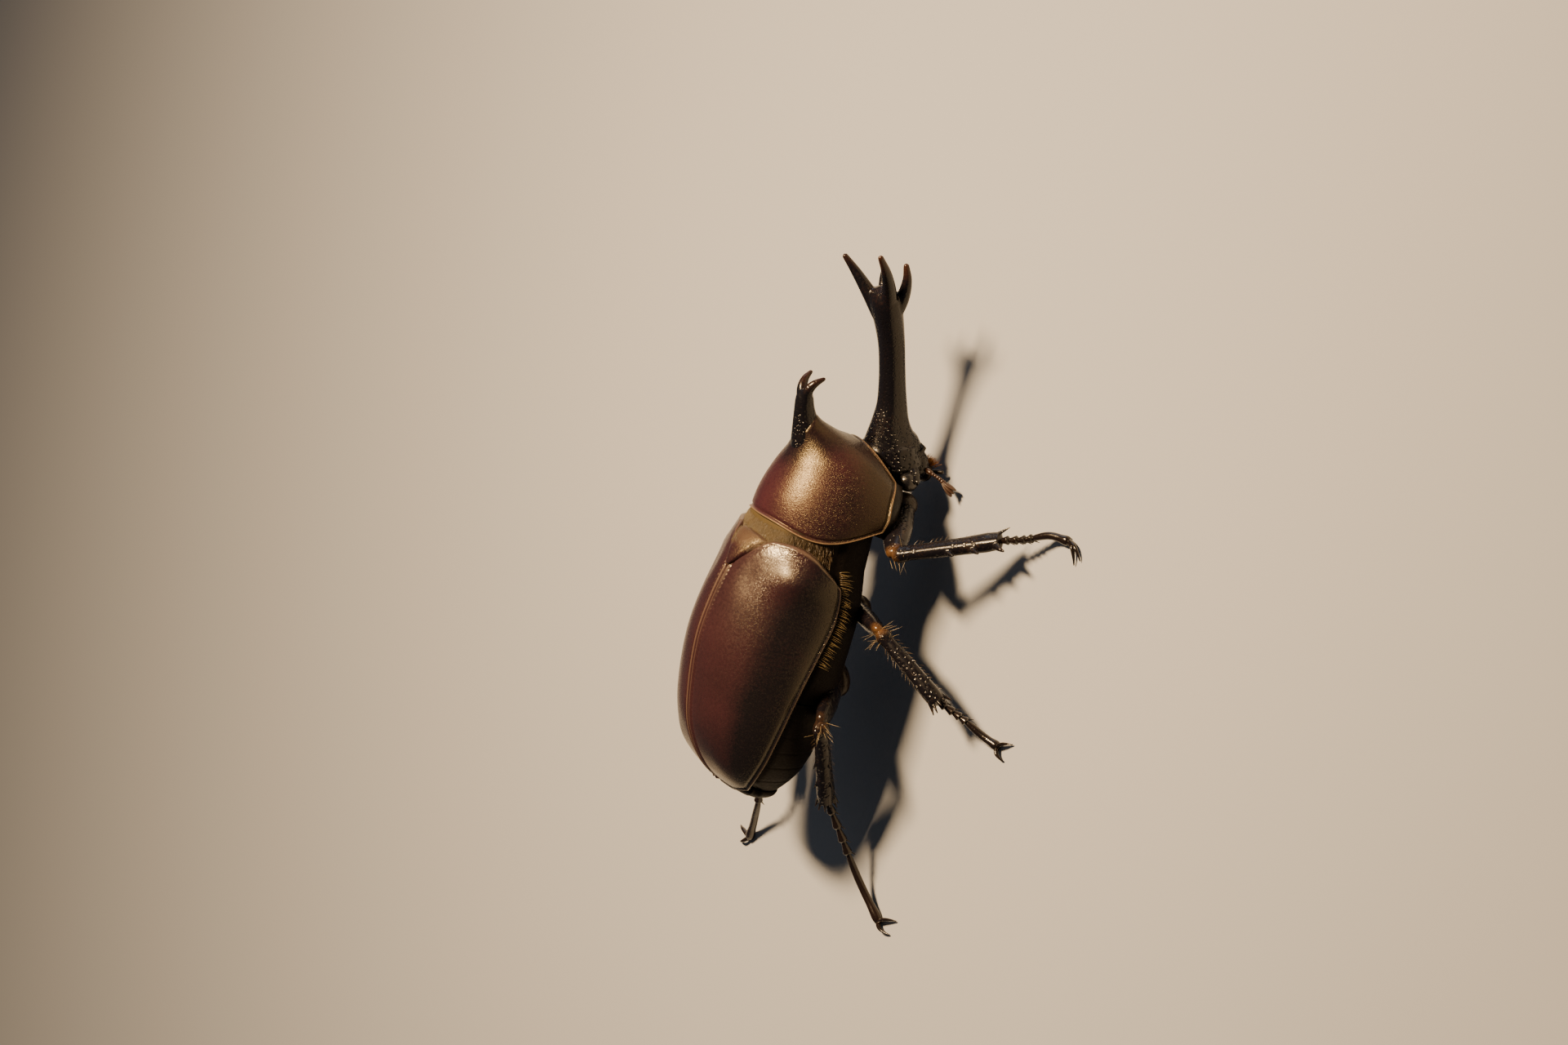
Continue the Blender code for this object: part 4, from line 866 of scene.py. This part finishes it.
def hairs(name, strands, radius, mat, slot, droop=(0, 0, 0), sides=4):
    """Thin curved solid hairs from strands: root, direction, length and place on a flat layout of the skin."""
    roots, ways, lengths, places = [np.array(column, float)[:, None, None] for column in zip(*strands)]
    ways = unit(ways)
    side = unit(np.cross(ways, np.where(np.abs(ways[..., 2:]) < 0.9, (0, 0, 1.0), (1.0, 0, 0))))
    t, a = np.linspace(0, 1, 5)[:, None, None], 2 * math.pi * np.arange(sides)[:, None] / sides
    girth = radius * (1 - 0.9 * t ** 1.3) * (side * np.cos(a) + np.cross(ways, side) * np.sin(a))
    forms = roots + (ways * (t - 0.06) + t ** 2 * droop) * lengths[..., None] + girth
    ring = np.arange(5 * sides).reshape(5, sides)
    turned = np.roll(ring, -1, 1)
    faces = np.stack((ring[:-1], turned[:-1], turned[1:], ring[1:]), -1).reshape(-1, 4).tolist()
    faces += ring[[0, -1]].tolist()
    verts, faces = joined([(form.reshape(-1, 3), faces) for form in forms])
    obj = make(name, verts, faces, mat, (), slot, along=np.tile(np.repeat(t, sides), len(forms)))
    spot = np.broadcast_arrays(0.0015 * np.cos(a), 0.003 * (t - 0.5))
    uvs = np.clip(places + np.concatenate(spot, -1), 0, 1).reshape(-1, 2)
    layer = obj.data.uv_layers.new(name="OFBake")
    index = np.empty(len(obj.data.loops), int)
    obj.data.loops.foreach_get("vertex_index", index)
    layer.data.foreach_set("uv", uvs[index].astype(np.float32).ravel())


def knee_hair(kind, name, leg, mat):
    """Fine pale bristles round the knee."""
    knee, shin, ahead, outer, side = shin_axes(leg)
    strands = []
    for _ in range(KNEE_HAIRS[kind]):
        a, t = RNG.uniform(-1.5, 1.5), RNG.uniform(-0.03, 0.13)
        lean = outer * math.cos(a) + side * math.sin(a)
        strands.append((knee + shin * t + lean, lean * 0.9 + ahead * RNG.uniform(-0.35, 0.5),
                        RNG.uniform(1.5, 2.6), (0.5 + a / 6.3, 0.1 + t)))
    hairs("hair_knee_" + name, strands, 0.026, mat, "leg_black")


def shin_bristles(kind, name, leg, mat):
    """Short dark bristles in rows down the shin."""
    knee, shin, ahead, outer, side = shin_axes(leg)
    strands = []
    for row in BRISTLE_ROWS[kind]:
        for t in np.linspace(0.18, 0.93, 17):
            a = row + RNG.uniform(-0.25, 0.25)
            lean = outer * math.cos(a) + side * math.sin(a)
            root = knee + shin * (t + RNG.uniform(-0.015, 0.015)) + lean
            strands.append((root, lean * 0.7 + ahead * 0.75, RNG.uniform(0.7, 1.5), (0.5 + a / 6.3, t)))
    hairs("bristles_" + name, strands, 0.036, mat, "leg_black")


def side_fringe(name, side, mat):
    """Golden hair that stands out under the margin of a wing case near its shoulder."""
    strands, count = [], 64
    for k in range(count):
        f = 15.8 - 13.8 * (k + RNG.uniform(-0.45, 0.45)) / count
        fan = 0.55 * smooth(f, 9, 16) - 0.12
        strands.append(((f, (elytra_half_width(f) - 0.12) * side, curve(SIDE_MARGIN, f) - 0.3),
                        (fan + RNG.normal(0, 0.13), side * 0.55, -0.8 + RNG.normal(0, 0.12)),
                        RNG.uniform(1.0, 2.0), (f / 40 + 0.5, 0.5)))
    hairs(name, strands, 0.03, mat, "underside_brown", (-0.2, 0.0, -0.1))


def neck_hair(name, mat, count, inner, outer, reach):
    """Velvet of very short hair on the neck behind the shield, between two distances from the middle."""
    strands = []
    while len(strands) < count:
        f = RNG.uniform(14.2, 19.0)
        ring = neck_ring(f)
        share, low = math.modf(RNG.uniform(0, 27))
        side = RNG.choice((-1, 1))
        point = (ring[int(low)] * (1 - share) + ring[int(low) + 1] * share) * (1, side, 1)
        if not inner <= abs(point[1]) + RNG.normal(0, 0.5) < outer:
            continue
        a = math.atan2(abs(point[1]) / 11.0, max(point[2] - 19.0, 0.1) / 9.0)
        out = np.array((0.0, side * math.sin(a), math.cos(a)))
        strands.append((point, out * 0.45 + (-0.85, RNG.normal(0, 0.22), RNG.normal(0, 0.12)),
                        RNG.uniform(*reach), (0.5 + side * a / 4, 0.1 + (f - 14.2) / 8)))
    hairs(name, strands, 0.022, mat, "underside_brown", sides=3)


def scutellum_hair(mat):
    """The same velvet on the front half of the small plate."""
    strands = []
    for _ in range(700):
        a, v = RNG.uniform(-1, 1), RNG.uniform(0, 1) ** 1.3 * 0.42
        strands.append((scutellum_point(a, v), (-0.9, RNG.normal(0, 0.2), 0.35),
                        RNG.uniform(0.3, 0.6), (0.5 + a / 4, 0.2 + v / 2)))
    hairs("hair_scutellum", strands, 0.02, mat, "pronotum_dark_brown", sides=3)


def mouth_brush(mat):
    strands = []
    for _ in range(260):
        a, b = RNG.normal(0, 0.9), RNG.uniform(-0.6, 0.6)
        strands.append(((31.0 + 0.3 * RNG.uniform(-1, 1), a * 0.9, 2.5 + 0.4 * b),
                        (1.0, a * 0.45, -0.35 + 0.4 * b), RNG.uniform(0.8, 1.7), (0.5 + a / 6, 0.5 + b / 2)))
    hairs("hair_mouth_brush", strands, 0.04, mat, "antenna_brown", (0, 0, -0.2))


# Camera, floor and light

def camera():
    """Long lens above the beetle's right side, as fitted to the photo."""
    turn, rise, tilt = np.radians((13, 31, 16))
    back = Vector((-math.cos(turn) * math.cos(rise), -math.sin(turn) * math.cos(rise), math.sin(rise)))
    up = Vector((0, -1, 0))
    up = (up - back * up.dot(back)).normalized()
    right = up.cross(back)
    up = (up * math.cos(tilt) - right * math.sin(tilt)).normalized()
    right = up.cross(back)
    data = bpy.data.cameras.new("camera")
    data.lens = 80
    data.sensor_width = 36
    data.clip_start = 0.01
    data.clip_end = 20
    cam = placed("camera", data)
    place = Matrix.Translation(Vector(to_row(CAMERA_AT)[0]))
    cam.matrix_world = place @ Matrix((right, up, back)).transposed().to_4x4()
    bpy.context.scene.camera = cam


def floor():
    mesh = bpy.data.meshes.new("floor")
    s = FLOOR_HALF
    mesh.from_pydata([(-s, -s, 0), (s, -s, 0), (s, s, 0), (-s, s, 0)], [], [(0, 1, 2, 3)])
    look = {"Base Color": (0.38, 0.375, 0.37), "Roughness": 1.0, "Specular IOR Level": 0.05}
    mesh.materials.append(surface("floor_pale", look)[0])
    obj = placed("floor", mesh)


def lamp(name, at, look, size, power, colour, spread):
    """Oblong area lamp from one millimetre point towards another; size in metres, power in watts."""
    data = bpy.data.lights.new(name, "AREA")
    data.shape = "RECTANGLE"
    data.size, data.size_y = size
    data.energy = power
    data.color = colour
    data.spread = math.radians(spread)
    place, aim = [Vector(p) for p in to_row((at, look))]
    obj = placed(name, data)
    obj.location = place
    obj.rotation_euler = (aim - place).to_track_quat("-Z", "Y").to_euler()


def light():
    world = bpy.data.worlds.new("studio")
    bpy.context.scene.world = world
    world.use_nodes = True
    fill(world.node_tree, world.node_tree.nodes["Background"], {"Color": (0.8, 0.86, 1.0), "Strength": 0.08})
    lamp("key", (290, 0, 545), (15, -25, 0), (0.2, 0.07), 2.7, (1.0, 0.73, 0.44), 80)
    lamp("sky", (430, -240, 110), (15, 0, 22), (0.3, 0.2), 0.3, (0.62, 0.76, 1.0), 180)


def build():
    # The wing cases' two colours, led by tone, carry painted light and shade. Their rim colour is partly a
    # painted highlight, and their pits get painted shade.
    case = chitin("elytra_mahogany_shell", (0.006, 0.0042, 0.0056), (0.037, 0.0122, 0.0148), 0.27, 0.06,
                  (4600, 0.02), (9000, 0.004), "tone pit", 0.4, ("rim", (0.18, 0.12, 0.075)), (1350, 0.1),
                  coat_rough=0.22, gloss=0.62, specks=(5200, 0.35, (0.08, 0.055, 0.036)), sheen=0.05,
                  warm=(1.0, 0.85, 0.58))
    # The shield's two colours, led by tone, carry painted shade towards its sides, and its pits get painted
    # shade.
    shield = chitin("pronotum_shield_brown", (0.009, 0.0038, 0.0064), (0.052, 0.013, 0.0185), 0.32, 0.03,
                    (6000, 0.03), (4600, 0.048), "tone pit", 0.7, ("rim", (0.2, 0.125, 0.065)),
                    coat_rough=0.28, gloss=0.56, specks=(6500, 0.5, (0.09, 0.062, 0.04)),
                    warm=(1.0, 0.76, 0.38))
    horn = chitin("horn_black_shell", *HORN_COLOURS, 0.26, 0.05, (2300, 0.12), (5000, 0.014), "tone pit",
                  gloss=0.36)
    skull = chitin("head_black_shell", *HORN_COLOURS, 0.25, 0.1, (1500, 0.24), (7000, 0.012), "tone pit",
                   gloss=0.32)
    under = chitin("underside_brown_shell", BLACK, (0.012, 0.007, 0.005), 0.45, 0.05, (2400, 0.03),
                   (6000, 0.006), gloss=0.16)
    belly = chitin("belly_brown_shell", BLACK, (0.007, 0.0045, 0.0035), 0.5, 0.0, (2600, 0.03), (6000, 0.005),
                   "tone", gloss=0.09)
    neck = chitin("neck_olive_skin", (0.003, 0.0022, 0.002), (0.008, 0.005, 0.004), 0.6, 0.0, (2600, 0.03),
                  (6000, 0.005), "tone", edge=("olive", (0.07, 0.048, 0.02)), gloss=0.08)
    leg = chitin("leg_black_shell", (0.0055, 0.0045, 0.006), (0.1, 0.046, 0.015), 0.24, 0.05, (1500, 0.12),
                 (5200, 0.01), "tone pit", coat_rough=0.25, gloss=0.3)
    hip = chitin("hip_black_shell", (0.0055, 0.004, 0.0035), (0.03, 0.014, 0.008), 0.4, 0.12, (1900, 0.03),
                 (5200, 0.006), "tone", gloss=0.34)
    foot = chitin("tarsus_black_shell", (0.006, 0.004, 0.0035), CLAW_BROWN, 0.22, 0.1, (3000, 0.012))
    claw = chitin("claw_black_shell", BLACK, CLAW_BROWN, 0.2, 0.15, (3500, 0.004), (6000, 0.002))
    eye = chitin("eye_black_shell", (0.004, 0.004, 0.005), (0.012, 0.01, 0.01), 0.3, 0.35, (9000, 0.012),
                 (9000, 0.001))
    feeler = chitin("antenna_brown_shell", (0.025, 0.01, 0.005), (0.07, 0.026, 0.011), 0.35, 0.3, (4000, 0.01))
    club = chitin("antenna_club_shell", (0.022, 0.01, 0.006), (0.06, 0.026, 0.013), 0.5, 0.1, (6000, 0.008),
                  (8000, 0.005))
    gold = hair_material("hair_gold", (0.16, 0.1, 0.035), (0.44, 0.31, 0.12))
    velvet = hair_material("hair_velvet", (0.06, 0.041, 0.017), (0.2, 0.14, 0.06))
    dusk = hair_material("hair_dusk", (0.03, 0.018, 0.008), (0.2, 0.12, 0.045))
    amber = hair_material("bristle_amber", (0.24, 0.15, 0.06), (0.66, 0.5, 0.27))
    orange = hair_material("hair_orange", (0.3, 0.1, 0.02), (0.6, 0.26, 0.05))
    for word, side in SIDES:
        elytron("elytron_" + word, side, case)
    pronotum(shield)
    prosternum(under)
    pronotal_horn(horn)
    head_horn(horn)
    head(skull)
    eyes(eye)
    antennae(feeler, club)
    mouthparts(hip)
    pterothorax(neck)
    abdomen(belly)
    pygidium(belly)
    scutellum(shield)
    for name, points in LEGS.items():
        kind = name.split("_")[0]
        limb = np.array(points)
        coxa(kind, name, limb, hip)
        femur(kind, name, limb, leg)
        tibia(kind, name, limb, leg)
        tarsus(kind, name, limb, foot, claw)
        knee_hair(kind, name, limb, amber)
        shin_bristles(kind, name, limb, dusk)
    for word, side in SIDES:
        side_fringe("hair_side_" + word, side, gold)
    neck_hair("hair_neck", velvet, 3000, 0.0, 6.2, (0.35, 0.75))
    neck_hair("hair_neck_side", dusk, 1100, 6.2, 10.6, (0.5, 1.1))
    scutellum_hair(velvet)
    mouth_brush(orange)
    camera()
    floor()
    light()


build()
